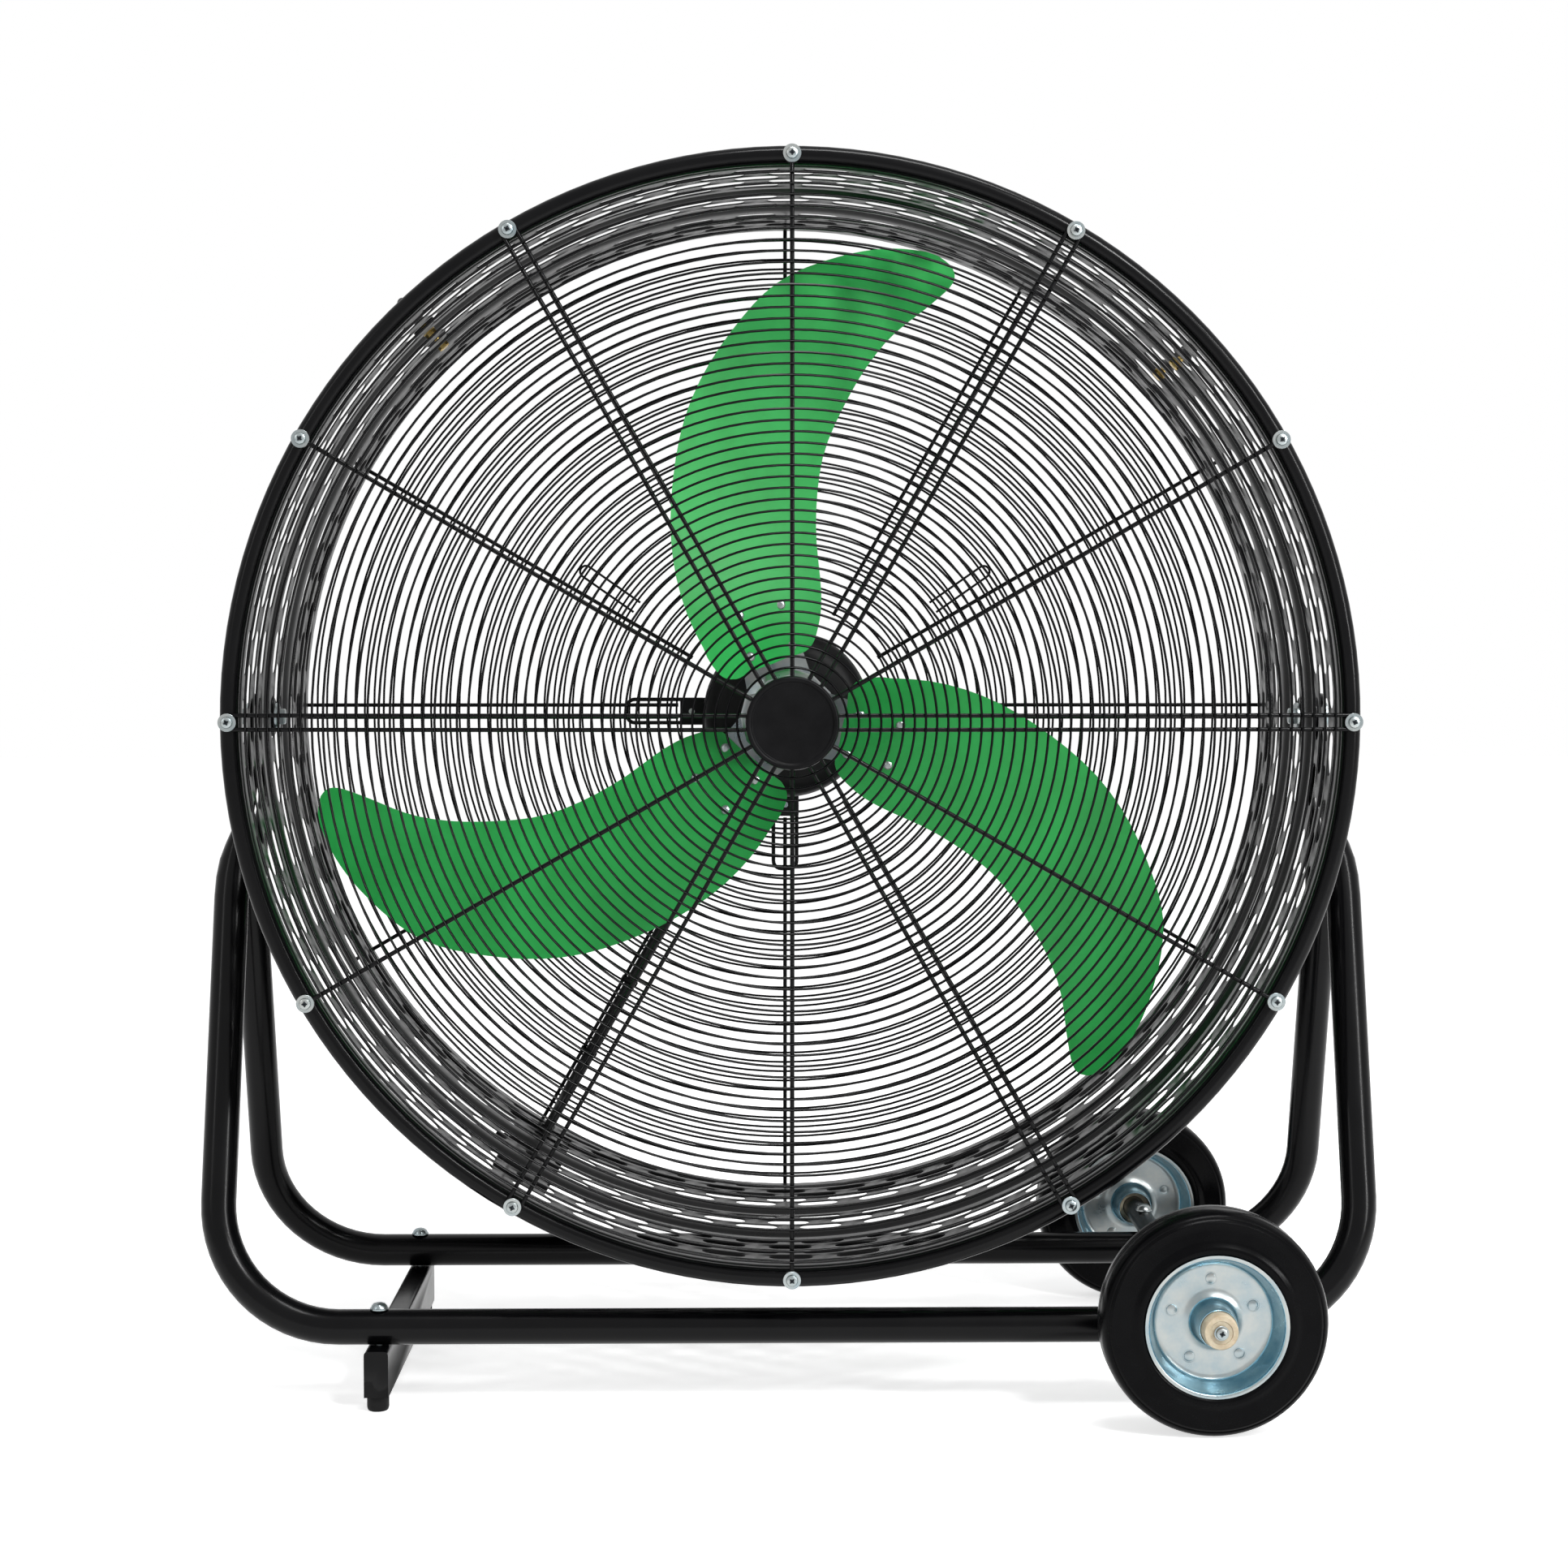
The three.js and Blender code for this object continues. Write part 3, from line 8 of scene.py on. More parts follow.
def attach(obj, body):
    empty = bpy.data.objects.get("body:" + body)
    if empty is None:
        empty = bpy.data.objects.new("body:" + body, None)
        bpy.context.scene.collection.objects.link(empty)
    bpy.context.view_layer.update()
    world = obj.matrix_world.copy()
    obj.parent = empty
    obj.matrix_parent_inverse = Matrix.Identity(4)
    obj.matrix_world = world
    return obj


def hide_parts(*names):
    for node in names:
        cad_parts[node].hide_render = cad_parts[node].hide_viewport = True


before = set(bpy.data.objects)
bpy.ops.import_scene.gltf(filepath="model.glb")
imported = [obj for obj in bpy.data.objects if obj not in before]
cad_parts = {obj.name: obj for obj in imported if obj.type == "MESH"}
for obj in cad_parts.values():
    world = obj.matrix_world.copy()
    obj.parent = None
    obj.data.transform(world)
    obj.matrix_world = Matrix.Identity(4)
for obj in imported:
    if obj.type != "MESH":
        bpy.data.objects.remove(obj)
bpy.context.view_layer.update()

# ---- View, light and floor ----
# A product photograph: a long lens in front of the outlet, a little above its middle, soft light
# from above and both sides, and a white sweep that keeps the fan's shadow on its floor.


def linear(colour):
    """A colour written as sRGB hex, as the linear values that a material takes."""
    parts = [int(colour[place:place + 2], 16) / 255 for place in (1, 3, 5)]
    return (*(p / 12.92 if p <= 0.04045 else ((p + 0.055) / 1.055) ** 2.4 for p in parts), 1)


def add(tree, kind, inputs, **settings):
    """A node with its settings, and its inputs given values or linked to other nodes' outputs."""
    node = tree.nodes.new("ShaderNode" + kind)
    for name, value in settings.items():
        setattr(node, name, value)
    for name, value in inputs.items():
        if isinstance(value, bpy.types.NodeSocket):
            tree.links.new(value, node.inputs[name])
        else:
            node.inputs[name].default_value = value
    return node


camera = bpy.data.objects.new("camera", bpy.data.cameras.new("camera"))
camera.data.sensor_width = 36
camera.data.lens = 63.35
camera.location = (-0.0432, -2.643, 0.6932)
camera.rotation_euler = (math.pi / 2 - 0.0511, 0, -0.0148)
camera.data.clip_end = 60
bpy.context.scene.collection.objects.link(camera)
bpy.context.scene.camera = camera
bpy.context.scene.view_settings.view_transform = "Standard"


def seen_rays(tree):
    """1 for the rays that see the background: straight, mirrored or through glass."""
    light_path = add(tree, "LightPath", {}).outputs
    seen = light_path["Is Camera Ray"]
    for ray in ("Is Glossy Ray", "Is Transmission Ray"):
        seen = add(tree, "Math", {0: seen, 1: light_path[ray]}, operation="MAXIMUM").outputs[0]
    return seen


world = bpy.data.worlds.new("white_studio")
world.use_nodes = True
bpy.context.scene.world = world
sweep = world.node_tree
sweep_light = add(sweep, "MapRange", {"Value": seen_rays(sweep), "To Min": 0.45, "To Max": 1.0})
studio = sweep.nodes["Background"]
studio.inputs["Color"].default_value = (1, 1, 1, 1)
sweep.links.new(sweep_light.outputs["Result"], studio.inputs["Strength"])

SOFTBOXES = {
    "softbox_left": ((-2.6, -2.2, 1.9), 0.15, 1.6, 9),
    "softbox_right": ((2.4, -2.0, 1.6), 0.2, 2.0, 60),
    "softbox_key": ((1.5, -2.4, 2.7), 0.25, 0.7, 60),
    "softbox_top": ((0.5, -0.9, 3.4), 1.6, 0.4, 55),
}
for name, (place, width, height, power) in SOFTBOXES.items():
    lamp = bpy.data.objects.new(name, bpy.data.lights.new(name, "AREA"))
    lamp.data.shape = "RECTANGLE"
    lamp.data.size = width
    lamp.data.size_y = height
    lamp.data.energy = power
    lamp.location = place
    lamp.rotation_euler = (Vector((0, 0, 0.6)) - lamp.location).to_track_quat("-Z", "Y").to_euler()
    bpy.context.scene.collection.objects.link(lamp)

paper = bpy.data.materials.new("white_paper_sweep")
paper.use_nodes = True
tree = paper.node_tree
fibre = add(tree, "TexNoise", {"Scale": 900.0, "Detail": 2.0})
tree.links.new(add(tree, "TexCoord", {}).outputs["Object"], fibre.inputs["Vector"])
sheet = add(tree, "BsdfDiffuse", {"Color": linear("#ececec"),
                                 "Normal": add(tree, "Bump", {"Height": fibre.outputs[0],
                                                              "Strength": 0.05}).outputs[0]})
glow = add(tree, "Emission", {"Strength": add(tree, "Math", {0: seen_rays(tree), 1: 0.66},
                                             operation="MULTIPLY").outputs[0]})
whole = add(tree, "AddShader", {0: sheet.outputs[0], 1: glow.outputs[0]})
tree.links.new(whole.outputs[0], tree.nodes["Material Output"].inputs["Surface"])
ground = bmesh.new()
bmesh.ops.create_grid(ground, x_segments=1, y_segments=1, size=14)
floor = bpy.data.objects.new("floor", bpy.data.meshes.new("floor"))
ground.to_mesh(floor.data)
ground.free()
floor.data.materials.append(paper)
bpy.context.scene.collection.objects.link(floor)

# ---- Frames ----
# Two U frames of 32 mm steel tube, bent cold and pressed flat at both ends, one leaning to the
# front and one to the back. The four flat ends lie in pairs on the two pivot bolts.
MILLIMETRE = 0.001
PIVOT_HEIGHT = 623
TUBE_RADIUS = 16
TUBE_HEIGHT = 72.7
STANCE = 159.5
LEG_OFFSET = 524.5
BEND_RADIUS = 114
FLAT_HALF = 22
FLAT_THICKNESS = 7
FLAT_OFFSETS = {"front": 510.4, "rear": 503.1}
FLAT_ROUND = 1.5  # how far a pressed section's round would pass its flat faces
END_ANGLES = (88, 72, 54, 36, 18, 0)
LEG_STATIONS = (30, 60, 80, 94, 105, 116, 128, 142, 158, 176, 240, 320, 400)
PRESSED = (84, 152)  # where the flat turns round, down the leg from the pivot
SET_IN = (56, 176)  # where the leg bends in towards the drum
ENDS = {"front": -1, "rear": 1}


def surface(name, colours, roughness, patch, grain, depth, metallic=0.0, **sockets):
    """A material whose two colours drift over patches and whose grain is a fine bump.
    patch and grain are real sizes in millimetres, depth is the grain's height."""
    made = bpy.data.materials.new(name)
    made.use_nodes = True
    tree = made.node_tree
    where = add(tree, "TexCoord", {}).outputs["Object"]
    drift = add(tree, "TexNoise", {"Vector": where, "Scale": 1 / (patch * MILLIMETRE),
                                   "Detail": 4.0, "Roughness": 0.6}).outputs[0]
    colour = add(tree, "ValToRGB", {"Fac": drift})
    colour.color_ramp.elements[0].position = 0.35
    colour.color_ramp.elements[1].position = 0.65
    colour.color_ramp.elements[0].color = linear(colours[0])
    colour.color_ramp.elements[1].color = linear(colours[1])
    polish = add(tree, "MapRange", {"Value": drift, "From Min": 0.3, "From Max": 0.7,
                                    "To Min": roughness[0], "To Max": roughness[1]})
    pits = add(tree, "TexNoise", {"Vector": where, "Scale": 1 / (grain * MILLIMETRE),
                                  "Detail": 2.0}).outputs[0]
    bump = add(tree, "Bump", {"Height": pits, "Strength": 1.0, "Distance": depth * MILLIMETRE})
    shader = tree.nodes["Principled BSDF"]
    tree.links.new(colour.outputs[0], shader.inputs["Base Color"])
    tree.links.new(polish.outputs[0], shader.inputs["Roughness"])
    tree.links.new(bump.outputs[0], shader.inputs["Normal"])
    shader.inputs["Metallic"].default_value = metallic
    for socket, value in sockets.items():
        shader.inputs[socket.replace("_", " ")].default_value = value
    return made


# Epoxy powder coat, sprayed and baked: deep black with a soft gleam and a faint orange peel,
# drawn at 2.5 mm because the real peel of about 1 mm is too fine to show.
BLACK_POWDER_COAT = surface("black_powder_coat", ("#030304", "#060607"), (0.19, 0.25), 60, 2.5,
                            0.004, Specular_IOR_Level=0.12)


def stop(points, place, normal, across, deep, limit=1.0):
    """Where a bar's section stands on its path: its matrix, and how far its flats reach."""
    before = points[max(place - 1, 0)]
    after = points[min(place + 1, len(points) - 1)]
    tangent = (after - before).normalized()
    side = tangent.cross(normal).normalized()
    turn = Matrix((side * across, normal * deep, tangent)).transposed().to_4x4()
    return Matrix.Translation(points[place]) @ turn, limit


def swept(stops, sides):
    """A closed bar through its sections, round or pressed flat."""
    mesh = bmesh.new()
    rims = []
    for matrix, limit in stops:
        dots = bmesh.ops.create_circle(mesh, segments=sides, radius=1)["verts"]
        for dot in dots:
            dot.co.x = max(-limit, min(limit, dot.co.x))
        bmesh.ops.transform(mesh, matrix=matrix, verts=dots)
        rims.append(list(dict.fromkeys(edge for dot in dots for edge in dot.link_edges)))
    for one, other in zip(rims, rims[1:]):
        bmesh.ops.bridge_loops(mesh, edges=one + other)
    bmesh.ops.holes_fill(mesh, edges=rims[0] + rims[-1], sides=sides)
    bmesh.ops.recalc_face_normals(mesh, faces=mesh.faces)
    return mesh


def arc(centre, radius, u, v, first, last, steps):
    """Points on an arc, between two angles in the plane of two unit directions."""
    angles = [math.radians(first + (last - first) * step / steps) for step in range(steps + 1)]
    return [centre + u * radius * math.cos(a) + v * radius * math.sin(a) for a in angles]


def piece(name, mesh, finish, slot, body, *nodes, place=Matrix(), crease=34):
    """A finished piece, from a mesh in millimetres: placed, shaded, coated and hung on its body."""
    bmesh.ops.transform(mesh, matrix=Matrix.Scale(MILLIMETRE, 4) @ place, verts=mesh.verts)
    for face in mesh.faces:
        face.smooth = True
    for edge in mesh.edges:
        edge.smooth = edge.calc_face_angle(0) < math.radians(crease)
    made = bpy.data.objects.new(name, bpy.data.meshes.new(name))
    mesh.to_mesh(made.data)
    mesh.free()
    made.data.materials.append(finish)
    bpy.context.scene.collection.objects.link(made)
    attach(made, body)
    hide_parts(*nodes)
    return made


def smoothly(value, first, last):
    """0 before first and 1 after last, eased at both ends."""
    share = max(0.0, min(1.0, (value - first) / (last - first)))
    return share * share * (3 - 2 * share)


def frame_tube(lean, flat_offset):
    """One frame: its legs' flat ends, their set towards the drum, and the two bottom bends."""
    drop = PIVOT_HEIGHT - TUBE_HEIGHT
    down = Vector((0, lean * STANCE, -drop)).normalized()
    length = math.hypot(drop, STANCE)
    normal = Vector((1, 0, 0)).cross(down)
    half_flat = FLAT_THICKNESS / 2 * FLAT_ROUND
    points, sizes = [], []
    for side in (-1, 1):
        leg_points, leg_sizes = [], []
        for degrees in END_ANGLES:
            along = -FLAT_HALF * math.sin(math.radians(degrees))
            leg_points.append(Vector((side * flat_offset, 0, 0)) + down * along)
            width = max(FLAT_HALF * math.cos(math.radians(degrees)), 2)
            leg_sizes.append((half_flat, width, 1 / FLAT_ROUND))
        for along in LEG_STATIONS:
            pressed = 1 - smoothly(along, *PRESSED)
            offset = LEG_OFFSET + (flat_offset - LEG_OFFSET) * (1 - smoothly(along, *SET_IN))
            thick = TUBE_RADIUS + (half_flat - TUBE_RADIUS) * pressed
            leg_points.append(Vector((side * offset, 0, 0)) + down * along)
            leg_sizes.append((thick, TUBE_RADIUS + (FLAT_HALF - TUBE_RADIUS) * pressed,
                              1 - pressed * (1 - 1 / FLAT_ROUND)))
        centre = Vector((side * (LEG_OFFSET - BEND_RADIUS), 0, 0)) + down * (length - BEND_RADIUS)
        bend = arc(centre, BEND_RADIUS, Vector((side, 0, 0)), down, 0, 90, 16)
        leg_points += bend
        leg_sizes += [(TUBE_RADIUS, TUBE_RADIUS, 1)] * len(bend)
        if side > 0:
            leg_points.reverse()
            leg_sizes.reverse()
        points += leg_points
        sizes += leg_sizes
    stops = [stop(points, i, normal, *size) for i, size in enumerate(sizes)]
    return swept(stops, 28)


for end, sign in ENDS.items():
    piece(f"{end}_frame_tube", frame_tube(sign, FLAT_OFFSETS[end]), BLACK_POWDER_COAT,
          "black_paint", "base", f"{end}_frame", place=Matrix.Translation((0, 0, PIVOT_HEIGHT)))

# ---- Foot bar, feet and their screws ----
# A channel folded from 2 mm sheet under the frames' left end, closed at both ends and powder
# coated black, with a rubber foot plugged in near each end and a zinc dome screw through each tube.
BAR_OFFSET = -374
BAR_HALF = 186
BAR_WIDTH = 22
BAR_TOP = 56.4
BAR_BOTTOM = 14.4
BAR_SHEET = 2
BAR_FOLD = 4
FOOT_RADIUS = 10
FOOT_INSET = 14
FOOT_SCREW_LENGTH = 39.6
SEAT_GAP = 0.3


def turned(profile, steps, closed=False):
    """A profile of radii and places along Y, spun round the Y axis."""
    mesh = bmesh.new()
    dots = [mesh.verts.new((radius, y, 0)) for radius, y in profile]
    edges = [mesh.edges.new(pair) for pair in zip(dots, dots[1:])]
    if closed:
        edges.append(mesh.edges.new((dots[-1], dots[0])))
    bmesh.ops.spin(mesh, geom=dots + edges, axis=(0, 1, 0), cent=(0, 0, 0), angle=2 * math.pi,
                   steps=steps, use_merge=True)
    bmesh.ops.remove_doubles(mesh, verts=mesh.verts, dist=0.002)
    bmesh.ops.recalc_face_normals(mesh, faces=mesh.faces)
    return mesh


def turn(axis, degrees):
    """A turn about one axis."""
    return Matrix.Rotation(math.radians(degrees), 4, axis)


def shift(x, y, z):
    """A shift in millimetres."""
    return Matrix.Translation((x, y, z))


def joined(*meshes):
    """Several shapes as one mesh, each a closed body of its own."""
    whole = bmesh.new()
    for mesh in meshes:
        data = bpy.data.meshes.new("part")
        mesh.to_mesh(data)
        mesh.free()
        whole.from_mesh(data)
        bpy.data.meshes.remove(data)
    return whole


def rounded(points, radius, steps=4):
    """A profile with its inner corners rounded to a radius."""
    made = [points[0]]
    for before, corner, after in zip(points, points[1:], points[2:]):
        corner = Vector(corner)
        back = Vector(before) - corner
        on = Vector(after) - corner
        reach = min(radius, back.length * 0.49, on.length * 0.49)
        first = corner + back.normalized() * reach
        last = corner + on.normalized() * reach
        for step in range(steps + 1):
            share = step / steps
            made.append(tuple(first * (1 - share) ** 2 + corner * 2 * share * (1 - share)
                              + last * share ** 2))
    return made + [points[-1]]


bar = bmesh.new()
half = BAR_WIDTH / 2
height = BAR_TOP - BAR_BOTTOM
outline = rounded([(-half, 0), (-half, height), (half, height), (half, 0)], BAR_FOLD)
dots = [bar.verts.new((BAR_OFFSET + x, -BAR_HALF, BAR_BOTTOM + z)) for x, z in outline]
folds = [bar.edges.new(pair) for pair in zip(dots, dots[1:])]
skin = bmesh.ops.extrude_edge_only(bar, edges=folds)["geom"]
far_dots = [part for part in skin if isinstance(part, bmesh.types.BMVert)]
bmesh.ops.translate(bar, vec=(0, 2 * BAR_HALF, 0), verts=far_dots)
for rim in (dots, far_dots):
    bmesh.ops.contextual_create(bar, geom=rim)
bmesh.ops.recalc_face_normals(bar, faces=bar.faces)
if sum(face.normal.z * face.calc_area() for face in bar.faces) < 0:
    bmesh.ops.reverse_faces(bar, faces=bar.faces)
channel = piece("foot_bar_channel", bar, BLACK_POWDER_COAT, "black_paint", "base", "foot_bar")
folded = channel.modifiers.new("sheet", "SOLIDIFY")
folded.thickness = BAR_SHEET * MILLIMETRE
folded.offset = -1
folded.use_even_offset = True

# Moulded synthetic rubber: dull, near black, slightly greyed by dust on its rough skin.
MOULDED_RUBBER = surface("moulded_rubber", ("#0c0c0d", "#151515"), (0.5, 0.62), 14, 0.9, 0.03,
                         Specular_IOR_Level=0.12)
# Bright zinc plate with a clear passivate: a cold silver, faintly blue and straw in patches,
# whose rolled surface softens what it mirrors.
BLUE_ZINC_PLATE = surface("blue_zinc_plate", ("#869296", "#9da09e"), (0.26, 0.34), 26, 1.6, 0.002,
                          metallic=1.0)
# The same plate drawn a clear ice blue on the sloped and curved walls: painted reflection, standing in
# for the blue that the curved zinc mirrors there.
BLUE_ZINC_PAINTED_REFLECTION = surface("blue_zinc_painted_reflection", ("#7ea4b4", "#a0bec8"), (0.2, 0.28), 18, 1.6, 0.002,
                          metallic=1.0)
for end, sign in ENDS.items():
    foot = turned(rounded([(0, 0), (FOOT_RADIUS - 1, 0), (FOOT_RADIUS, 3), (FOOT_RADIUS, 14),
                           (8.7, 14.1), (8.7, 30), (0, 30)], 1.5), 32)
    piece(f"rubber_{end}_foot", foot, MOULDED_RUBBER, "rubber", "base", f"foot_{end}",
          place=shift(BAR_OFFSET, sign * (BAR_HALF - FOOT_INSET), 0) @ turn("X", 90))


def dome_screw(length, nut):
    """A dome-headed screw, its seat at 0, its head towards -Y and its shank towards +Y."""
    profile = [(0, -6.4), (2.6, -6.2), (5.2, -5.2), (7, -3.4), (7.7, -1.4), (8.4, -1.2), (8.4, 0),
               (3, 0)]
    if nut:
        profile += [(3, length - 5), (5.75, length - 5), (5.75, length), (0, length)]
    else:
        profile += [(3, length), (0, length)]
    return turned(profile, 24)


TUBE_TOP = TUBE_HEIGHT + TUBE_RADIUS
for end, sign in ENDS.items():
    piece(f"foot_{end}_screw_zinc", dome_screw(FOOT_SCREW_LENGTH, True), BLUE_ZINC_PLATE, "zinc",
          "base", f"foot_screw_{end}",
          place=shift(BAR_OFFSET, sign * STANCE, TUBE_TOP + SEAT_GAP) @ turn("X", -90))

# ---- Axle and wheels ----
# One round steel axle across both frames, held by a dome screw through each tube. Each wheel is
# two pressed zinc-plated discs riveted together in a solid rubber tyre, on a nylon bush.
AXLE_PLACE = (368, 0, 100)
TRACK = 256
AXLE_RADIUS = 11
AXLE_HALF = 298
AXLE_SCREW_LENGTH = 41.2
END_SCREW_SEAT = 302.3
END_SCREW_LENGTH = 25.7
END_SCREW_WASHER = 6.4
RIM_RIVETS = 5
RIM_RIVET_RADIUS = 37.5
RECESS_TOP = -4.4
RECESS_REACH = 2.6
RECESS_HALF_WIDTH = 0.7
RECESS_DEPTH = 0.6

axle = turned([(0, -AXLE_HALF), (9.8, -AXLE_HALF), (AXLE_RADIUS, -AXLE_HALF + 1.2),
               (AXLE_RADIUS, AXLE_HALF - 1.2), (9.8, AXLE_HALF), (0, AXLE_HALF)], 40)
piece("axle_bar", axle, BLACK_POWDER_COAT, "black_paint", "base", "axle", place=shift(*AXLE_PLACE))
# Nylon, moulded: a warm beige, faintly waxy, clouded where the resin flowed.
BEIGE_NYLON = surface("beige_moulded_nylon", ("#a3937a", "#b8ab94"), (0.42, 0.55), 9, 0.8, 0.006,
                      Subsurface_Weight=0.08)
# Tyre rubber, pressed in a polished mould: near black, with a wider gleam than plain rubber.
TYRE_RUBBER = surface("pressed_tyre_rubber", ("#030304", "#060607"), (0.2, 0.28), 30, 1.4, 0.004,
                      Specular_IOR_Level=0.05)


def rim_disc():
    """The pressed discs with their rolled lips, the tapered hub and five flush rivets."""
    face = rounded([(15.9, 33.4), (16.6, 34), (17.3, 33), (19.2, 11), (20.6, 4.6), (27.3, 1.5),
                    (49, 1.5), (52.5, 3.2), (58.5, 24.5), (60, 27), (63, 27)], 2.2, 3)
    seat = [(63, 24.8), (56, 4)]
    mirror = [(radius, -y) for radius, y in reversed(face + seat)]
    disc = turned([*face, *seat, *mirror], 72, closed=True)
    rivets = []
    for i in range(RIM_RIVETS):
        for side in (-1, 1):
            head = turned([(0, 2.7), (3.2, 2.6), (4.5, 2.1), (4.8, 1.4), (5.6, 1.6), (6.1, 1.4),
                           (6.1, 0), (0, 0)], 20)
            place = turn("Y", 360 / RIM_RIVETS * i + 3) @ shift(0, 0, RIM_RIVET_RADIUS)
            if side < 0:
                place = turn("Z", 180) @ place
            bmesh.ops.transform(head, matrix=place, verts=head.verts)
            rivets.append(head)
    return joined(disc, *rivets)


def tyre_ring():
    """The solid tyre: stepped sidewalls with a raised lip round the rim, and a grooved tread."""
    side = [(100, 0.8), (99.2, 1.6), (99.2, 3), (100, 3.8), (100, 9), (99.4, 13), (97.8, 18),
            (96, 20.4), (94.6, 21.4), (93.6, 21.2), (92.6, 22.4), (91.2, 23.4), (90, 23.2), (84, 24.2),
            (76, 24.3), (73, 24.9), (70.6, 26.6), (68, 27.4), (65.4, 27.1), (63.6, 25.8), (63.3, 24.2),
            (56.3, 3.7)]
    return turned([*side, *((radius, -y) for radius, y in reversed(side))], 96, closed=True)


def bush_sleeve(outward):
    """The bush: a sleeve in the hub, closed at its outer end by a stepped nose."""
    profile = [(11.3, -24), (15.6, -24), (15.6, 40), (15.2, 44.6), (14.2, 46), (10.4, 46), (10, 45.2),
               (3.4, 45.2), (3.4, 42.3), (11.3, 42.3)]
    return turned([(radius, outward * y) for radius, y in profile], 48, closed=True)


def cross_recess():
    """The cross cut into a pan screw's head, as a four-armed pocket on its top face that is coated
    dark as painted shade.
    """
    mesh = bmesh.new()
    for degrees in (0, 90):
        arm = bmesh.ops.create_cube(mesh, size=1)["verts"]
        bmesh.ops.scale(mesh, vec=(2 * RECESS_REACH, RECESS_DEPTH, 2 * RECESS_HALF_WIDTH), verts=arm)
        bmesh.ops.rotate(mesh, verts=arm, cent=(0, 0, 0), matrix=turn("Y", degrees).to_3x3())
        bmesh.ops.translate(mesh, verts=arm, vec=(0, RECESS_TOP, 0))
    bmesh.ops.bevel(mesh, geom=mesh.edges[:], offset=RECESS_HALF_WIDTH * 0.3, offset_type="OFFSET",
                    affect="EDGES", segments=1, profile=0.5, material=-1)
    return mesh


def pan_screw(length, washer):
    """A cross-recessed pan screw with its washer, seat at 0 and head towards -Y."""
    return turned([(0, -3.6), (1.2, -3.6), (1.9, -4.55), (3.2, -4.4), (4.7, -3.6), (5.3, -2.3),
                   (5.3, -1.2), (washer - 0.2, -1.2), (washer, -1), (washer, 0), (2.9, 0),
                   (2.9, length), (0, length)], 32)


# The dark cross in a screw's recess: painted shade, a dark grey metal standing in for the shade that
# falls in the hollow.
RECESS_PAINTED_SHADE = surface("recess_painted_shade", ("#202326", "#34383b"), (0.4, 0.5), 4, 0.5, 0.01,
                         metallic=1.0)
for end, sign in ENDS.items():
    hub = shift(AXLE_PLACE[0], sign * TRACK, AXLE_PLACE[2])
    wheel = f"wheel_{end}"
    disc = piece(f"{end}_wheel_disc", rim_disc(), BLUE_ZINC_PLATE, "zinc", wheel, f"rim_{end}",
                 place=hub)
    disc.data.materials.append(BLUE_ZINC_PAINTED_REFLECTION)
    # Faces that do not face along the axle take the ice-blue copy: painted reflection on the sloped
    # walls.
    for face in disc.data.polygons:
        face.material_index = int(abs(face.normal.y) < 0.8)
    piece(f"{end}_wheel_tyre", tyre_ring(), TYRE_RUBBER, "tyre_rubber", wheel, f"tyre_{end}",
          place=hub)
    piece(f"{end}_wheel_bush", bush_sleeve(sign), BEIGE_NYLON, "beige_plastic", wheel,
          f"bush_{end}", place=hub)
    seat = shift(AXLE_PLACE[0], sign * END_SCREW_SEAT, AXLE_PLACE[2])
    facing = seat @ turn("Z", 180) if sign > 0 else seat
    piece(f"{end}_axle_end_screw", pan_screw(END_SCREW_LENGTH, END_SCREW_WASHER), BLUE_ZINC_PLATE,
          "zinc", "base", f"axle_end_screw_{end}", place=facing)
    # The dark cross on the screw's head is painted shade in its recess.
    piece(f"{end}_axle_end_recess", cross_recess(), RECESS_PAINTED_SHADE, "zinc", "base",
          place=facing @ turn("Y", 12))
    axle_top = shift(AXLE_PLACE[0], sign * STANCE, AXLE_PLACE[2] + AXLE_RADIUS + SEAT_GAP)
    piece(f"{end}_axle_cross_screw", dome_screw(AXLE_SCREW_LENGTH, False), BLUE_ZINC_PLATE, "zinc",
          "base", f"axle_screw_{end}", place=axle_top @ turn("X", -90))

# ---- Drum shell ----
# A strip of 1 mm sheet, slotted flat, rolled round and welded. Both edges are curled outwards
# into a 17 mm bead, and two ribs are rolled outwards to stiffen it. Powder coated near black.
BORE = 489.5
SHEET = 1
BEAD_RADIUS = 8.5
BEAD_MIDDLE = BORE + BEAD_RADIUS
BEAD_PLANE = 202 - BEAD_RADIUS
RIB_OFFSET = 52
RIB_HALF = 17
RIB_HEIGHT = 5
SLOTS_ROUND = 50
TILE_STEPS = 6
SLOT_LENGTH = 41
SLOT_WIDTH = 17
EDGE_SLOT_WIDTH = 8
EDGE_ROW = 160
ROW_PITCH = 21
OUTER_ROWS = 130  # the middle of the five rows at each end
SLOT_BANDS = ((-OUTER_ROWS, 5), (0, 3), (OUTER_ROWS, 5))
OUTER_EDGE = OUTER_ROWS + 2.5 * ROW_PITCH
INNER_EDGE = OUTER_ROWS - 2.5 * ROW_PITCH
MIDDLE_EDGE = 1.5 * ROW_PITCH
WALL_STEPS = SLOTS_ROUND * TILE_STEPS

# Powder coat over slotted sheet: the same near black paint as the tubes, drawn greyer than them as
# painted sheen for the light the inner wall reflects at a grazing angle, with the same fine peel.
DRUM_COAT_PAINTED_SHEEN = surface("drum_powder_coat_painted_sheen", ("#0d0d0e", "#131314"), (0.26, 0.34), 90, 2.5,
                           0.006, Specular_IOR_Level=0.16)


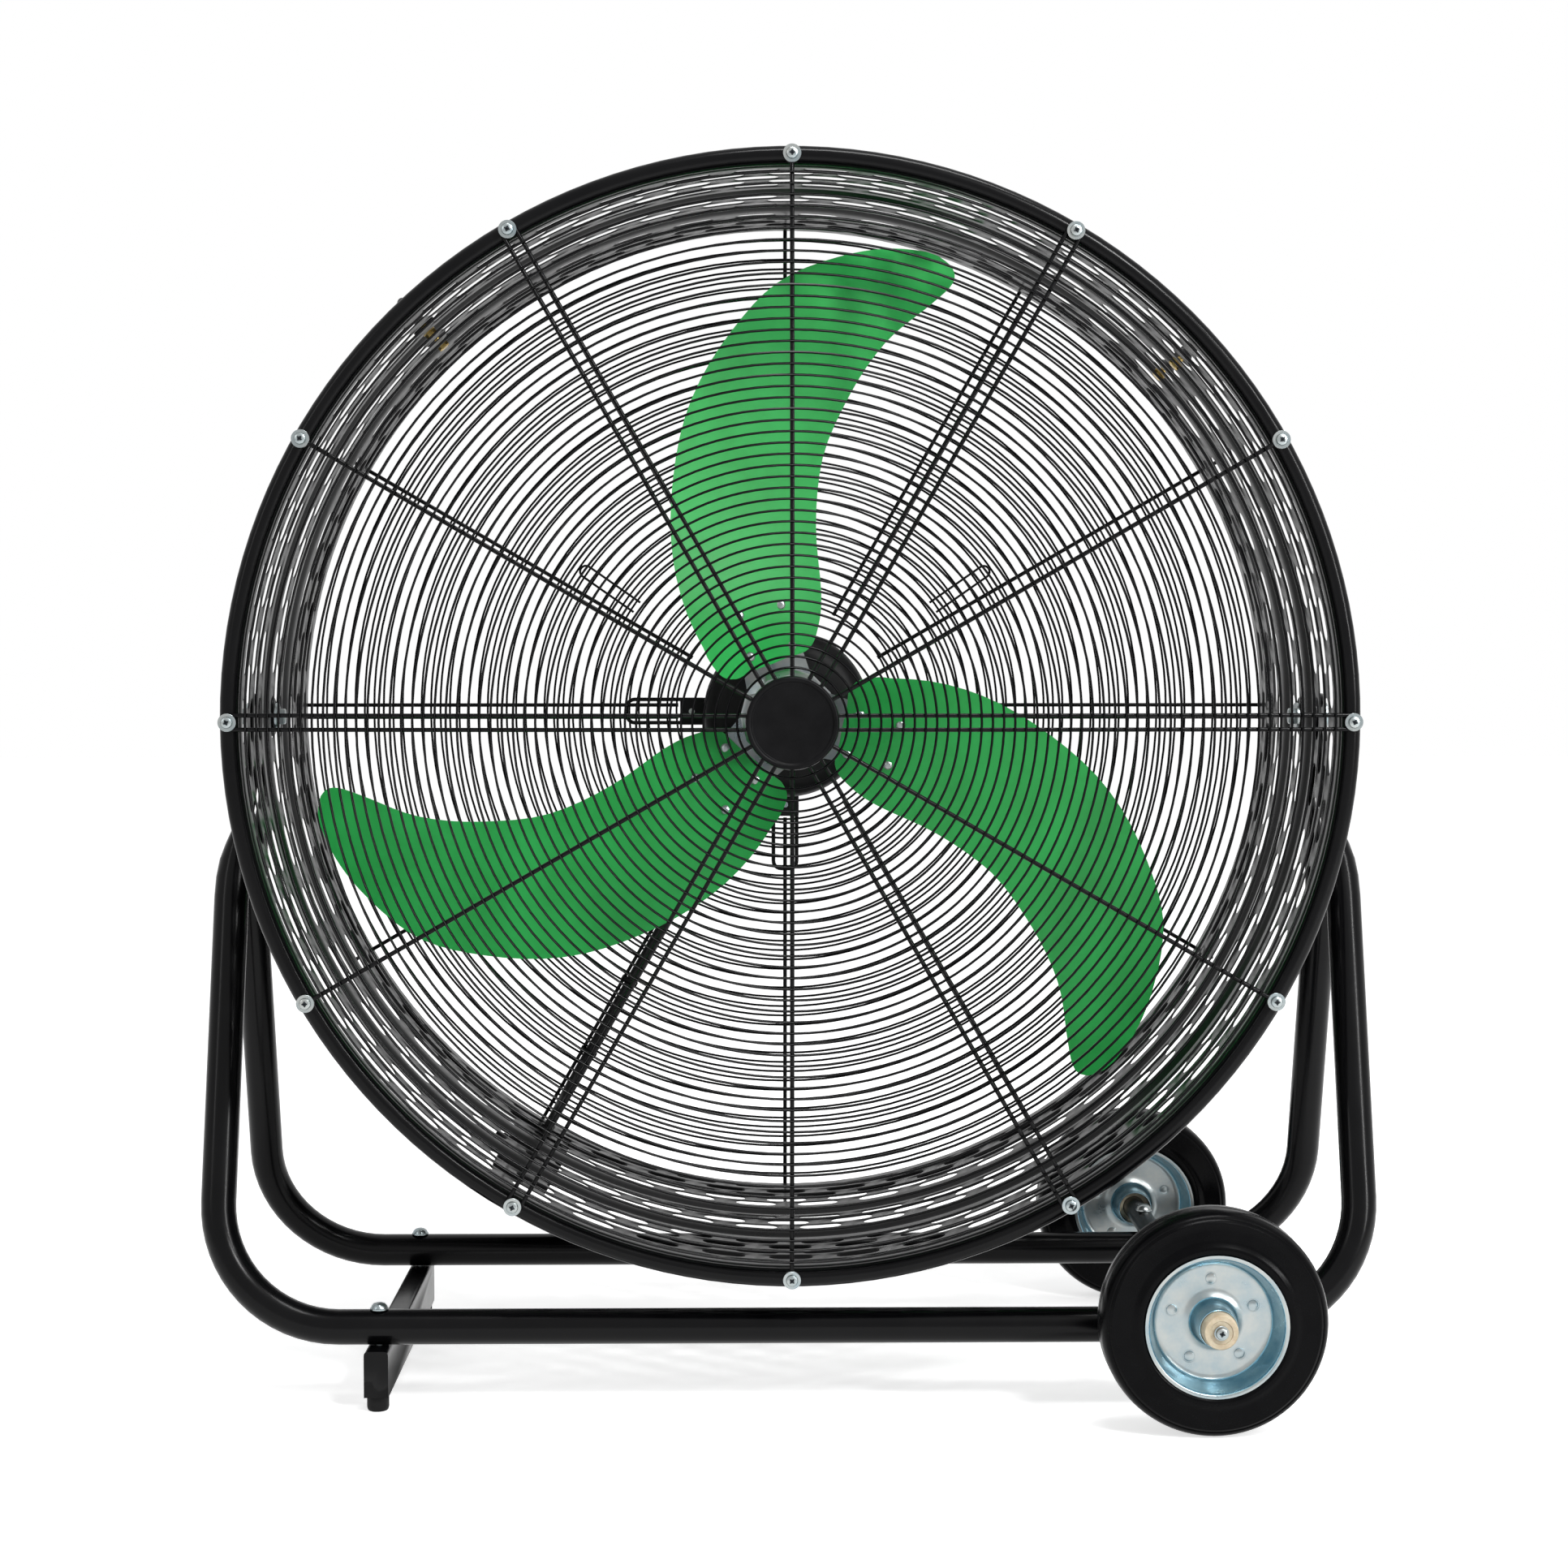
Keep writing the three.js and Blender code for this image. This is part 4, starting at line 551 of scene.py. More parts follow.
def slot_tile(first, last, start, slot_width):
    """One slot in its oblong of sheet, from a flat tile bent onto the wall."""
    mesh = bmesh.new()
    width = 2 * math.pi * BORE / SLOTS_ROUND
    height = last - first
    middle = (first + last) / 2
    radius = slot_width / 2
    end = SLOT_LENGTH / 2 - radius
    rim = []
    for side in (1, -1):
        for step in range(7):
            angle = math.radians(90 - 30 * step) if side > 0 else math.radians(-90 - 30 * step)
            rim.append((side * end + radius * math.cos(angle), radius * math.sin(angle)))
        rim.append((0, -side * radius))
    half_border = []
    for step in range(TILE_STEPS):
        half_border.append((-width / 2 + width * step / TILE_STEPS, height / 2))
    for step in range(2):
        half_border.append((width / 2, height / 2 - height * step / 2))
    border = half_border + [(-x, -y) for x, y in half_border]
    loops = []
    for outline in (rim, border):
        dots = [mesh.verts.new((x, y, 0)) for x, y in outline]
        loops += [mesh.edges.new((dots[i - 1], dots[i])) for i in range(len(dots))]
    bmesh.ops.bridge_loops(mesh, edges=loops)
    for dot in mesh.verts:
        angle = dot.co.x / BORE + math.pi * (2 * start + TILE_STEPS) / WALL_STEPS
        dot.co = (BORE * math.sin(angle), dot.co.y + middle, BORE * math.cos(angle))
    return mesh


def slot_rows():
    """Every row of slots: alternate rows are shifted by half a slot's pitch."""
    rows = []
    for middle, count in SLOT_BANDS:
        for row in range(count):
            first = middle + (row - count / 2) * ROW_PITCH
            at_edge = abs(first + ROW_PITCH / 2) > EDGE_ROW
            tile = slot_tile(first, first + ROW_PITCH, TILE_STEPS // 2 * (row % 2),
                             EDGE_SLOT_WIDTH if at_edge else SLOT_WIDTH)
            bmesh.ops.spin(tile, geom=tile.verts[:] + tile.edges[:] + tile.faces[:], axis=(0, 1, 0),
                           cent=(0, 0, 0), angle=2 * math.pi * (SLOTS_ROUND - 1) / SLOTS_ROUND,
                           steps=SLOTS_ROUND - 1, use_duplicate=True)
            rows.append(tile)
    return rows


def plain_band(profile):
    """A band of plain sheet between rows of slots, spun from its profile."""
    mesh = bmesh.new()
    dots = [mesh.verts.new((0, y, radius)) for radius, y in profile]
    edges = [mesh.edges.new(pair) for pair in zip(dots, dots[1:])]
    bmesh.ops.spin(mesh, geom=dots + edges, axis=(0, 1, 0), cent=(0, 0, 0), angle=2 * math.pi,
                   steps=WALL_STEPS, use_merge=True)
    return mesh


def rib(middle):
    """A rolled rib's profile."""
    steps = 10
    return [(BORE + RIB_HEIGHT / 2 * (1 - math.cos(2 * math.pi * i / steps)),
             middle + RIB_HALF * (2 * i / steps - 1)) for i in range(steps + 1)]


wall = joined(*slot_rows(), plain_band([(BORE, -BEAD_PLANE), (BORE, -OUTER_EDGE)]),
              plain_band([(BORE, OUTER_EDGE), (BORE, BEAD_PLANE)]),
              plain_band([(BORE, -INNER_EDGE), *rib(-RIB_OFFSET), (BORE, -MIDDLE_EDGE)]),
              plain_band([(BORE, MIDDLE_EDGE), *rib(RIB_OFFSET), (BORE, INNER_EDGE)]))
bmesh.ops.remove_doubles(wall, verts=wall.verts, dist=0.02)
bmesh.ops.recalc_face_normals(wall, faces=wall.faces)
inward = sum(face.normal.dot(Vector((face.calc_center_median().x, 0, face.calc_center_median().z)))
             for face in wall.faces if abs(face.calc_center_median().y) < 180)
if inward > 0:
    bmesh.ops.reverse_faces(wall, faces=wall.faces)
DRUM_PLACE = shift(0, 0, PIVOT_HEIGHT)
# The wall takes the greyer coat: painted sheen for the light its inside reflects at a grazing angle.
shell = piece("drum_wall", wall, DRUM_COAT_PAINTED_SHEEN, "drum_paint", "drum", "drum_shell",
              place=DRUM_PLACE, crease=50)
rolled = shell.modifiers.new("sheet", "SOLIDIFY")
rolled.thickness = SHEET * MILLIMETRE
rolled.offset = -1

curls = []
for place in (-BEAD_PLANE, BEAD_PLANE):
    curl = [(BEAD_MIDDLE - BEAD_RADIUS * math.cos(math.radians(angle)),
             place + BEAD_RADIUS * math.sin(math.radians(angle))) for angle in range(0, 360, 20)]
    curls.append(turned(curl, 150, closed=True))
piece("drum_beads", joined(*curls), BLACK_POWDER_COAT, "drum_paint", "drum", place=DRUM_PLACE)

# ---- Guards ----
# Two wire guards: thin rings spot-welded on twelve spokes, every other one a hairpin pair. The
# front guard is domed and its spokes end in eyes under screws; the back one hooks on the bead.
RING_WIRE = 2.4
SPOKE_WIRE = 4
PAIR_WIRE = 3.8
PAIR_SPACING = 12.5
GUARD_DOME = 14
SPOKE_MIDDLE = 204.3
FIRST_RING = 48.6
LAST_RING = 481.7
RINGS = 45
INNER_RINGS = (24, 34)
SPOKE_START = 22
MOUNT_RING = 112
BOLT_REACH = 96
PRONG_REACH = 165
PRONG_HALF = 14
PAD_THICKNESS = 2.8
PAD_LENGTH = 24
PAD_MIDDLE = 201.3
HAIRPIN_REACH = (186, 250)
HAIRPIN_HALF = 6
EYE_RADIUS = 6.2
HOOK_BEND = 6
HOOK_LENGTH = 14
WELD_SINK = 0.5
GUARD_SCREW_SEAT = 206.6
ACROSS = Vector((1, 0, 0))
ALONG = Vector((0, 1, 0))
OUTWARD = Vector((0, 0, 1))


def dome_at(radius, dome):
    """How far the guard stands out at a radius."""
    return dome * (1 - (radius / BEAD_MIDDLE) ** 2)


def wire(points, diameter, normal, sides=8):
    """A round wire along points."""
    half_wire = diameter / 2
    return swept([stop(points, i, normal, half_wire, half_wire) for i in range(len(points))], sides)


def ring_wires(radii, dome):
    """The guard's rings, round wires in front of the spokes."""
    mesh = bmesh.new()
    for radius in radii:
        y = SPOKE_MIDDLE + dome_at(radius, dome) + (SPOKE_WIRE + RING_WIRE) / 2 - WELD_SINK
        matrix = shift(radius, y, 0)
        bmesh.ops.create_circle(mesh, segments=6, radius=RING_WIRE / 2, matrix=matrix)
    bmesh.ops.spin(mesh, geom=mesh.verts[:] + mesh.edges[:], axis=(0, 1, 0), cent=(0, 0, 0),
                   angle=2 * math.pi, steps=120, use_merge=True)
    bmesh.ops.recalc_face_normals(mesh, faces=mesh.faces)
    return mesh


def spoke_path(first, last, x, dome, steps=12):
    """Points along a spoke, straight in plan and following the dome."""
    radii = [first + (last - first) * step / steps for step in range(steps + 1)]
    return [Vector((x, SPOKE_MIDDLE + dome_at(radius, dome), radius)) for radius in radii]


def mirrored(points):
    """A hairpin's way back: the points of its way out, reversed and on the other side."""
    return [Vector((-point.x, point.y, point.z)) for point in reversed(points)]


def block(size, middle, edge, segments):
    """A block with its edges rounded."""
    mesh = bmesh.new()
    corners = bmesh.ops.create_cube(mesh, size=1)["verts"]
    bmesh.ops.scale(mesh, vec=size, verts=corners)
    bmesh.ops.translate(mesh, vec=middle, verts=corners)
    bmesh.ops.bevel(mesh, geom=mesh.edges[:], offset=edge, offset_type="OFFSET", affect="EDGES",
                    segments=segments, profile=0.5, material=-1)
    return mesh


def spoke_wires(first, dome, hooked):
    """Six single spokes and six hairpins, in turn."""
    made = []
    bead = Vector((0, SPOKE_MIDDLE, BEAD_MIDDLE))
    for i in range(12):
        place = turn("Y", 30 * i)
        if i % 2:
            half_pair = PAIR_SPACING / 2
            out = spoke_path(first, BEAD_MIDDLE, half_pair, dome)
            loop = arc(bead, half_pair, ACROSS, OUTWARD, 15, 165, 10)
            one = wire([*out, *loop, *mirrored(out)], PAIR_WIRE, ALONG)
        elif hooked:
            out = spoke_path(first, BEAD_MIDDLE - BEAD_RADIUS, 0, dome)
            reach = BEAD_MIDDLE + BEAD_RADIUS + 0.4 + SPOKE_WIRE / 2
            corner = Vector((0, SPOKE_MIDDLE - HOOK_BEND, reach - HOOK_BEND))
            bend = arc(corner, HOOK_BEND, OUTWARD, ALONG, 90, 0, 6)
            tip = Vector((0, SPOKE_MIDDLE - HOOK_LENGTH, reach))
            one = wire([*out, *bend, tip], SPOKE_WIRE, ACROSS)
        else:
            out = spoke_path(first, BEAD_MIDDLE - EYE_RADIUS - 1.5, 0, dome)
            loop = arc(bead, EYE_RADIUS, ACROSS, OUTWARD, -78, 255, 18)
            one = wire([*out, *loop], SPOKE_WIRE, ALONG)
        bmesh.ops.transform(one, matrix=place, verts=one.verts)
        made.append(one)
    return made


def small_hairpins():
    """Two small hairpins across the back guard's rings, above the motor."""
    made = []
    for degrees in (-55, 55):
        leg = [Vector((HAIRPIN_HALF, SPOKE_MIDDLE, reach)) for reach in HAIRPIN_REACH]
        top = Vector((0, SPOKE_MIDDLE, HAIRPIN_REACH[1]))
        bend = arc(top, HAIRPIN_HALF, ACROSS, OUTWARD, 0, 180, 8)[1:-1]
        hairpin = wire([*leg, *bend, *mirrored(leg)], RING_WIRE, ALONG)
        bmesh.ops.transform(hairpin, matrix=turn("Y", degrees), verts=hairpin.verts)
        made.append(hairpin)
    return made


def motor_mount():
    """Four pads for the motor's bolts, each on a hairpin prong across the inner spokes."""
    made = []
    leg_x = PRONG_HALF - SPOKE_WIRE / 2
    for i in range(4):
        pad = block((2 * PRONG_HALF, PAD_THICKNESS, PAD_LENGTH), (0, PAD_MIDDLE, BOLT_REACH), 0.8, 2)
        bend = arc(Vector((leg_x - 8, SPOKE_MIDDLE, PRONG_REACH - 10)), 8, ACROSS, OUTWARD, 0, 90, 6)
        half_loop = [Vector((leg_x, SPOKE_MIDDLE, BOLT_REACH - 11)), *bend]
        prong = wire([*half_loop, *mirrored(half_loop)], SPOKE_WIRE, ALONG)
        for mesh in (pad, prong):
            bmesh.ops.transform(mesh, matrix=turn("Y", 90 * i), verts=mesh.verts)
            made.append(mesh)
    return made


front_radii = [FIRST_RING + (LAST_RING - FIRST_RING) * i / (RINGS - 1) for i in range(RINGS)]
front_guard = joined(ring_wires([*INNER_RINGS, *front_radii], GUARD_DOME),
                     *spoke_wires(SPOKE_START, GUARD_DOME, False))
piece("front_guard_wires", front_guard, BLACK_POWDER_COAT, "black_paint", "drum", "front_guard",
      place=DRUM_PLACE @ turn("Z", 180), crease=60)
steps = round((LAST_RING - MOUNT_RING) / (front_radii[1] - front_radii[0]))
rear_radii = [MOUNT_RING + (LAST_RING - MOUNT_RING) * i / steps for i in range(steps + 1)]
rear_guard = joined(ring_wires(rear_radii, 0), *spoke_wires(MOUNT_RING - 2, 0, True),
                    *small_hairpins(), *motor_mount())
piece("rear_guard_wires", rear_guard, BLACK_POWDER_COAT, "black_paint", "drum", "rear_guard",
      place=DRUM_PLACE, crease=60)

for i in range(12):
    place = DRUM_PLACE @ turn("Y", 30 * i) @ shift(0, -GUARD_SCREW_SEAT, BEAD_MIDDLE)
    piece(f"guard_screw_{i + 1:02}_zinc", pan_screw(13, 8), BLUE_ZINC_PLATE, "zinc", "drum",
          f"guard_screw_{i + 1:02}", place=place)
    # The dark cross on each guard screw's head is painted shade in its recess.
    piece(f"guard_screw_{i + 1:02}_recess", cross_recess(), RECESS_PAINTED_SHADE, "zinc", "drum",
          place=place @ turn("Y", 37 * i))

# ABS, moulded: the black of the badge, with a satin face and a glossier rolled lip.
BLACK_ABS = surface("black_moulded_abs", ("#0b0b0c", "#101011"), (0.28, 0.36), 18, 0.9, 0.003,
                    Specular_IOR_Level=0.06)
badge = turned(rounded([(0, 218.3), (22, 218.3), (22, 222.7), (40.3, 222.7), (41.5, 224.5),
                        (40.8, 230.4), (39.2, 231.7), (36.6, 230.8), (35.6, 229.2), (0, 229.2)],
                       0.8, 3), 72)
piece("guard_middle_badge", badge, BLACK_ABS, "black_plastic", "drum", "guard_badge",
      place=DRUM_PLACE @ turn("Z", 180))

# ---- Motor ----
# A closed motor behind the rotor, in a finned cast-aluminium housing painted black. Four lugs
# on it are bolted to the pads of the back guard, and its rear cap stands through the guard.
CAST_ALUMINIUM = surface("painted_cast_aluminium", ("#09090a", "#101011"), (0.36, 0.46), 25, 1.6,
                         0.04, Specular_IOR_Level=0.12)
MOTOR_RADIUS = 82.5
FINS = 8
FIRST_FIN = 96
FIN_PITCH = 11
FIN_DEPTH = 3.5
LUG_SIZE = (28, 6, 36)
LUG_MIDDLE = 196.4
MOTOR_BOLT_SEAT = 203.1
profile = [(0, 64), (24, 64), (27, 62), (31, 66), (33, 70), (62, 73), (70, 76), (79, 84),
           (MOTOR_RADIUS, 92)]
for fin in range(FINS):
    y = FIRST_FIN + fin * FIN_PITCH
    profile += [(MOTOR_RADIUS, y), (MOTOR_RADIUS, y + 4), (MOTOR_RADIUS - FIN_DEPTH, y + 5.5),
                (MOTOR_RADIUS - FIN_DEPTH, y + 9)]
profile += [(MOTOR_RADIUS, 186), (MOTOR_RADIUS, 198.6), (MOTOR_RADIUS - 1, 199.4), (74.6, 199.4),
            (74.6, 210), (71, 213), (20, 213), (18, 211.5), (0, 211.5)]
lugs = []
for i in range(4):
    lug = block(LUG_SIZE, (0, LUG_MIDDLE, BOLT_REACH - 6), 2, 3)
    bmesh.ops.transform(lug, matrix=turn("Y", 90 * i), verts=lug.verts)
    lugs.append(lug)
piece("motor_housing", joined(turned(profile, 72), *lugs), CAST_ALUMINIUM, "motor_black", "drum",
      "motor", place=DRUM_PLACE)


def hexagon_bolt(diameter, flats, height, washer, thickness, length):
    """A hexagon-headed bolt with its washer, seat at 0 and head towards -Y."""
    shank = turned([(0, -thickness), (washer / 2 - 0.3, -thickness), (washer / 2, -thickness + 0.3),
                    (washer / 2, 0), (diameter / 2, 0), (diameter / 2, length), (0, length)], 32)
    corner = flats / 2
    head = turned([(0, -thickness - height), (corner * 0.8, -thickness - height),
                   (corner, -thickness - height * 0.82), (corner, -thickness), (0, -thickness)], 6)
    return joined(shank, head)


for i in range(4):
    bolt = hexagon_bolt(6, 11.5, 5, 11.6, 0.2, 12)
    seat = shift(0, MOTOR_BOLT_SEAT, BOLT_REACH) @ turn("Z", 180)
    piece(f"motor_bolt_{i + 1}_zinc", bolt, BLUE_ZINC_PLATE, "zinc", "drum", f"motor_bolt_{i + 1}",
          place=DRUM_PLACE @ turn("Y", 90 * i) @ seat)

# ---- Rotor ----
# Three sickle blades pressed from 2 mm steel and powder coated green, each held by four rivets
# to an arm of the zinc-plated spider, which is fixed on the motor's shaft.
ROTOR_PLANE = -8
ARM_ANGLE = -15
PITCH_AT_AXIS = 55  # advance per radian
PITCH_GROWTH = 0.1
FULL_PITCH_RADIUS = 66
CAMBER = 0.3
# Radius, then the degrees of the trailing and the leading edge, from root to tip.
BLADE_EDGES = ((52.5, -24, -16), (54, -32, -8), (59, -50, 7), (64, -55.5, 14.8), (70, -58, 18),
               (78, -57.8, 19.4), (94, -54, 18.6), (110, -49.5, 17), (170, -38.7, 9.3),
               (240, -27.4, 7.5), (310, -17.7, 10.7), (370, -8.5, 14.6), (415, -1.2, 18.8),
               (445, 7, 20.9), (460, 12.4, 20.3), (466.5, 16.6, 18.2))
BLADE_SHEET = 2
ARM_START = 30
ARM_REACH = 126
ARM_WIDTH = 56
ARM_FLARE = 8
ARM_SHEET = 3
ARM_LIFT = 2.3
RIVET_ROWS = (64.5, 105)
RIVET_SIDE = 20.5


def sheet_place(radius, degrees):
    """A point on the blades' screw surface, pressed to a slight camber."""
    angle = math.radians(degrees - ARM_ANGLE)
    steepness = (PITCH_AT_AXIS + PITCH_GROWTH * radius) * min(1.0, radius / FULL_PITCH_RADIUS)
    advance = steepness * (angle - CAMBER * angle * angle)
    round_axis = math.radians(degrees)
    return Vector((radius * math.sin(round_axis), ROTOR_PLANE + advance,
                   radius * math.cos(round_axis)))


def curve_at(rows, share):
    """Where a smooth curve through rows of numbers is, at a share of its length."""
    place = share * (len(rows) - 1)
    index = min(int(place), len(rows) - 2)
    t = place - index
    picked = [rows[max(0, min(len(rows) - 1, index + k))] for k in (-1, 0, 1, 2)]
    return [0.5 * (2 * b + (c - a) * t + (2 * a - 5 * b + 4 * c - d) * t * t
                   + (3 * b - a - 3 * c + d) * t ** 3) for a, b, c, d in zip(*picked)]


def pressed_sheet(rows, columns, place_at, lift, thickness):
    """A sheet laid over the screw surface: a grid put in place, then given its thickness."""
    mesh = bmesh.new()
    bmesh.ops.create_grid(mesh, x_segments=columns, y_segments=rows, size=0.5)
    for dot in mesh.verts:
        dot.co = place_at(dot.co.x + 0.5, dot.co.y + 0.5) + Vector((0, lift, 0))
    back = bmesh.ops.extrude_face_region(mesh, geom=mesh.faces[:])["geom"]
    bmesh.ops.translate(mesh, vec=(0, thickness, 0),
                        verts=[part for part in back if isinstance(part, bmesh.types.BMVert)])
    bmesh.ops.recalc_face_normals(mesh, faces=mesh.faces)
    return mesh


def blade_place(across, along):
    """The blade: a sickle between its two edges, rounded at the root and the tip."""
    radius, trailing, leading = curve_at(BLADE_EDGES, along)
    return sheet_place(radius, trailing + (leading - trailing) * across)


def arm_place(across, along):
    """The arm: a wide strap that widens into the hub, behind the blade's root."""
    reach = ARM_START + (ARM_REACH - ARM_START) * along
    x = (ARM_WIDTH + ARM_FLARE * (1 - along) ** 2) * (across - 0.5)
    return sheet_place(math.hypot(reach, x), ARM_ANGLE + math.degrees(math.atan2(x, reach)))


# Powder coat in a clear leaf green over steel: even, satin, and paler where it faces the light.
GREEN_POWDER_COAT = surface("green_powder_coat", ("#1b9640", "#23a44b"), (0.36, 0.46), 70, 2.5,
                            0.012, Specular_IOR_Level=0.35)
arms = []
for i in range(3):
    around = turn("Y", 120 * i)
    piece(f"green_blade_{i + 1}", pressed_sheet(64, 22, blade_place, 0, BLADE_SHEET),
          GREEN_POWDER_COAT, "green_paint", "rotor", f"blade_{i + 1}", place=DRUM_PLACE @ around)
    arm = pressed_sheet(16, 12, arm_place, ARM_LIFT, ARM_SHEET)
    bmesh.ops.transform(arm, matrix=around, verts=arm.verts)
    arms.append(arm)
    for reach in RIVET_ROWS:
        for side in (-RIVET_SIDE, RIVET_SIDE):
            centre = sheet_place(math.hypot(reach, side),
                                 ARM_ANGLE + math.degrees(math.atan2(side, reach)))
            head = turned([(0, -2.8), (2, -2.6), (3.6, -1.8), (4.6, -0.5), (4.75, 1.5), (3, 2.2),
                           (3, 5), (0, 5)], 20)
            bmesh.ops.transform(head, matrix=around @ Matrix.Translation(centre), verts=head.verts)
            arms.append(head)
# The hub: a deep cap with twelve flats pressed into its wall.
hub_cap = turned([(0, -36), (26, -36), (34, -35.4), (40, -33), (44, -28), (46, -22), (46, 20),
                  (0, 20)], 12)
piece("rotor_spider", joined(hub_cap, *arms), BLUE_ZINC_PLATE, "zinc", "rotor", "spider",
      place=DRUM_PLACE, crease=20)
# Ground steel, oiled: a plain grey shine with turning marks too fine to see.
GROUND_STEEL = surface("ground_steel", ("#8b8e91", "#a3a6a8"), (0.25, 0.35), 12, 0.6, 0.006,
                       metallic=1.0)
shaft = turned([(0, -40), (7, -40), (8, -39), (8, 92), (0, 92)], 32)
piece("motor_shaft", shaft, GROUND_STEEL, "zinc", "rotor", "rotor_shaft", place=DRUM_PLACE)

# ---- Handles ----
# A bent black plastic grip on each side of the drum, held from inside the drum by two yellow-zinc
# hexagon bolts through the crests of the ribs.
HANDLES = {"left": -43, "right": 47.5}
HANDLE_SEAT = 497.8
HANDLE_REACH = 32
HANDLE_BEND = 14
HANDLE_RADIUS = 5
BOLT_SEAT = 492.3

# Zinc plate with a yellow passivate: brassy, with patches of straw and faint rose.
YELLOW_ZINC_PLATE = surface("yellow_zinc_plate", ("#b39653", "#cbb374"), (0.25, 0.36), 6, 0.8, 0.006,
                            metallic=1.0)


def grip():
    """The bar: up from one foot, across the drum's wall and down to the other foot."""
    grip_height = HANDLE_SEAT + HANDLE_REACH
    leg = [Vector((0, -RIB_OFFSET, HANDLE_SEAT + height)) for height in (0.6, 10)]
    points = leg[:]
    for side, angles in ((-1, (180, 90)), (1, (90, 0))):
        corner = Vector((0, side * (RIB_OFFSET - HANDLE_BEND), grip_height - HANDLE_BEND))
        points += arc(corner, HANDLE_BEND, ALONG, OUTWARD, *angles, 8)
    points += [Vector((0, -point.y, point.z)) for point in reversed(leg)]
    bar = wire(points, 2 * HANDLE_RADIUS, ACROSS, 20)
    feet = []
    for side in (-1, 1):
        foot = turned(rounded([(0, 0), (12, 0), (12, -2), (7.5, -5), (5.5, -8), (0, -8)], 1), 32)
        bmesh.ops.transform(foot, matrix=shift(0, side * RIB_OFFSET, HANDLE_SEAT) @ turn("X", -90),
                            verts=foot.verts)
        feet.append(foot)
    return joined(bar, *feet)


number = 1
for side, degrees in HANDLES.items():
    around = DRUM_PLACE @ turn("Y", degrees)
    piece(f"{side}_carry_handle", grip(), BLACK_ABS, "black_plastic", "drum", f"handle_{side}",
          place=around)
    for y in (-RIB_OFFSET, RIB_OFFSET):
        bolt = hexagon_bolt(6, 11.5, 5, 12.8, 1.2, 25)
        piece(f"{side}_handle_bolt_{number}", bolt, YELLOW_ZINC_PLATE, "yellow_zinc", "drum",
              f"handle_bolt_{number}", place=around @ shift(0, y, BOLT_SEAT) @ turn("X", 90))
        number += 1

# ---- Pivots ----
# On each side a zinc bolt through the drum wall, a thick black friction washer that holds the
# frames clear of the ribs, both frames' flat ends, and a nut tightened until the drum stays put.
PIVOT_SEATS = {"bolt": 489.2, "washer": 491.3, "nut": 514.2}

for side, sign in (("left", -1), ("right", 1)):
    seats = {name: DRUM_PLACE @ shift(sign * reach, 0, 0) @ turn("Z", -90 * sign)
             for name, reach in PIVOT_SEATS.items()}
    bolt = hexagon_bolt(10, 17, 6.5, 26, 2.5, 36)
    piece(f"{side}_pivot_bolt_zinc", bolt, BLUE_ZINC_PLATE, "zinc", "drum", f"pivot_bolt_{side}",
          place=seats["bolt"])
    nut = joined(turned([(5.3, 0), (13, 0), (13, 2.2), (12.7, 2.5), (5.3, 2.5)], 40, closed=True),
                 turned([(5.3, 2.5), (8.5, 2.5), (8.5, 8.2), (7.2, 9), (5.3, 9)], 6, closed=True))
    piece(f"{side}_pivot_nut_zinc", nut, BLUE_ZINC_PLATE, "zinc", "drum", f"pivot_nut_{side}",
          place=seats["nut"])
    washer = turned([(5.4, 0), (18.2, 0), (19, 0.8), (19, 7.2), (18.2, 8), (5.4, 8)], 48, closed=True)
    piece(f"{side}_friction_washer_ring", washer, BLACK_ABS, "black_plastic", "base",
          f"friction_washer_{side}", place=seats["washer"])

# ---- Switch box and motor lead ----
# A moulded box on the outside of the drum, low on the left, with the speed knob on its back
# face. The motor's lead runs to the gland in the wall, tied to a spoke of the back guard.
SWITCH_PLACE = DRUM_PLACE @ turn("Y", 210)
WALL_OUTSIDE = 491
BOX_WIDTH = 60
BOX_LENGTH = 86
BOX_HEIGHT = 44
BOX_MIDDLE = 113
BOX_AXIS = WALL_OUTSIDE + BOX_HEIGHT / 2
GLAND_PLACE = 143
LEAD_DIAMETER = 8
FIRST_TIE = 235
TIE_PITCH = 85
TIE_WIDTH = 4.6
TIE_THICKNESS = 1.2

box = bmesh.new()
corners = bmesh.ops.create_cube(box, size=1)["verts"]
bmesh.ops.scale(box, vec=(BOX_WIDTH, BOX_LENGTH, BOX_HEIGHT), verts=corners)
bmesh.ops.translate(box, vec=(0, BOX_MIDDLE, BOX_AXIS), verts=corners)
for dot in box.verts:
    if dot.co.z < WALL_OUTSIDE + 1:
        dot.co.z = math.sqrt(WALL_OUTSIDE ** 2 - (BOX_WIDTH / 2) ** 2) + 0.8
bmesh.ops.bevel(box, geom=box.edges[:], offset=4, offset_type="OFFSET", affect="EDGES", segments=4,
                profile=0.5, material=-1)
gland = turned([(3.5, -6.4), (6, -6.4), (6.5, -5.6), (6.5, 2), (3.5, 2)], 32, closed=True)
bmesh.ops.transform(gland, matrix=shift(0, GLAND_PLACE, WALL_OUTSIDE) @ turn("X", 90),
                    verts=gland.verts)
inlet = turned([(3.4, 12), (5.2, 12), (5.6, 11), (5.6, 5), (6.5, 4.6), (6.5, -1), (3.4, -1)], 32,
               closed=True)
bmesh.ops.transform(inlet, matrix=shift(BOX_WIDTH / 2, BOX_MIDDLE, BOX_AXIS) @ turn("Z", -90),
                    verts=inlet.verts)
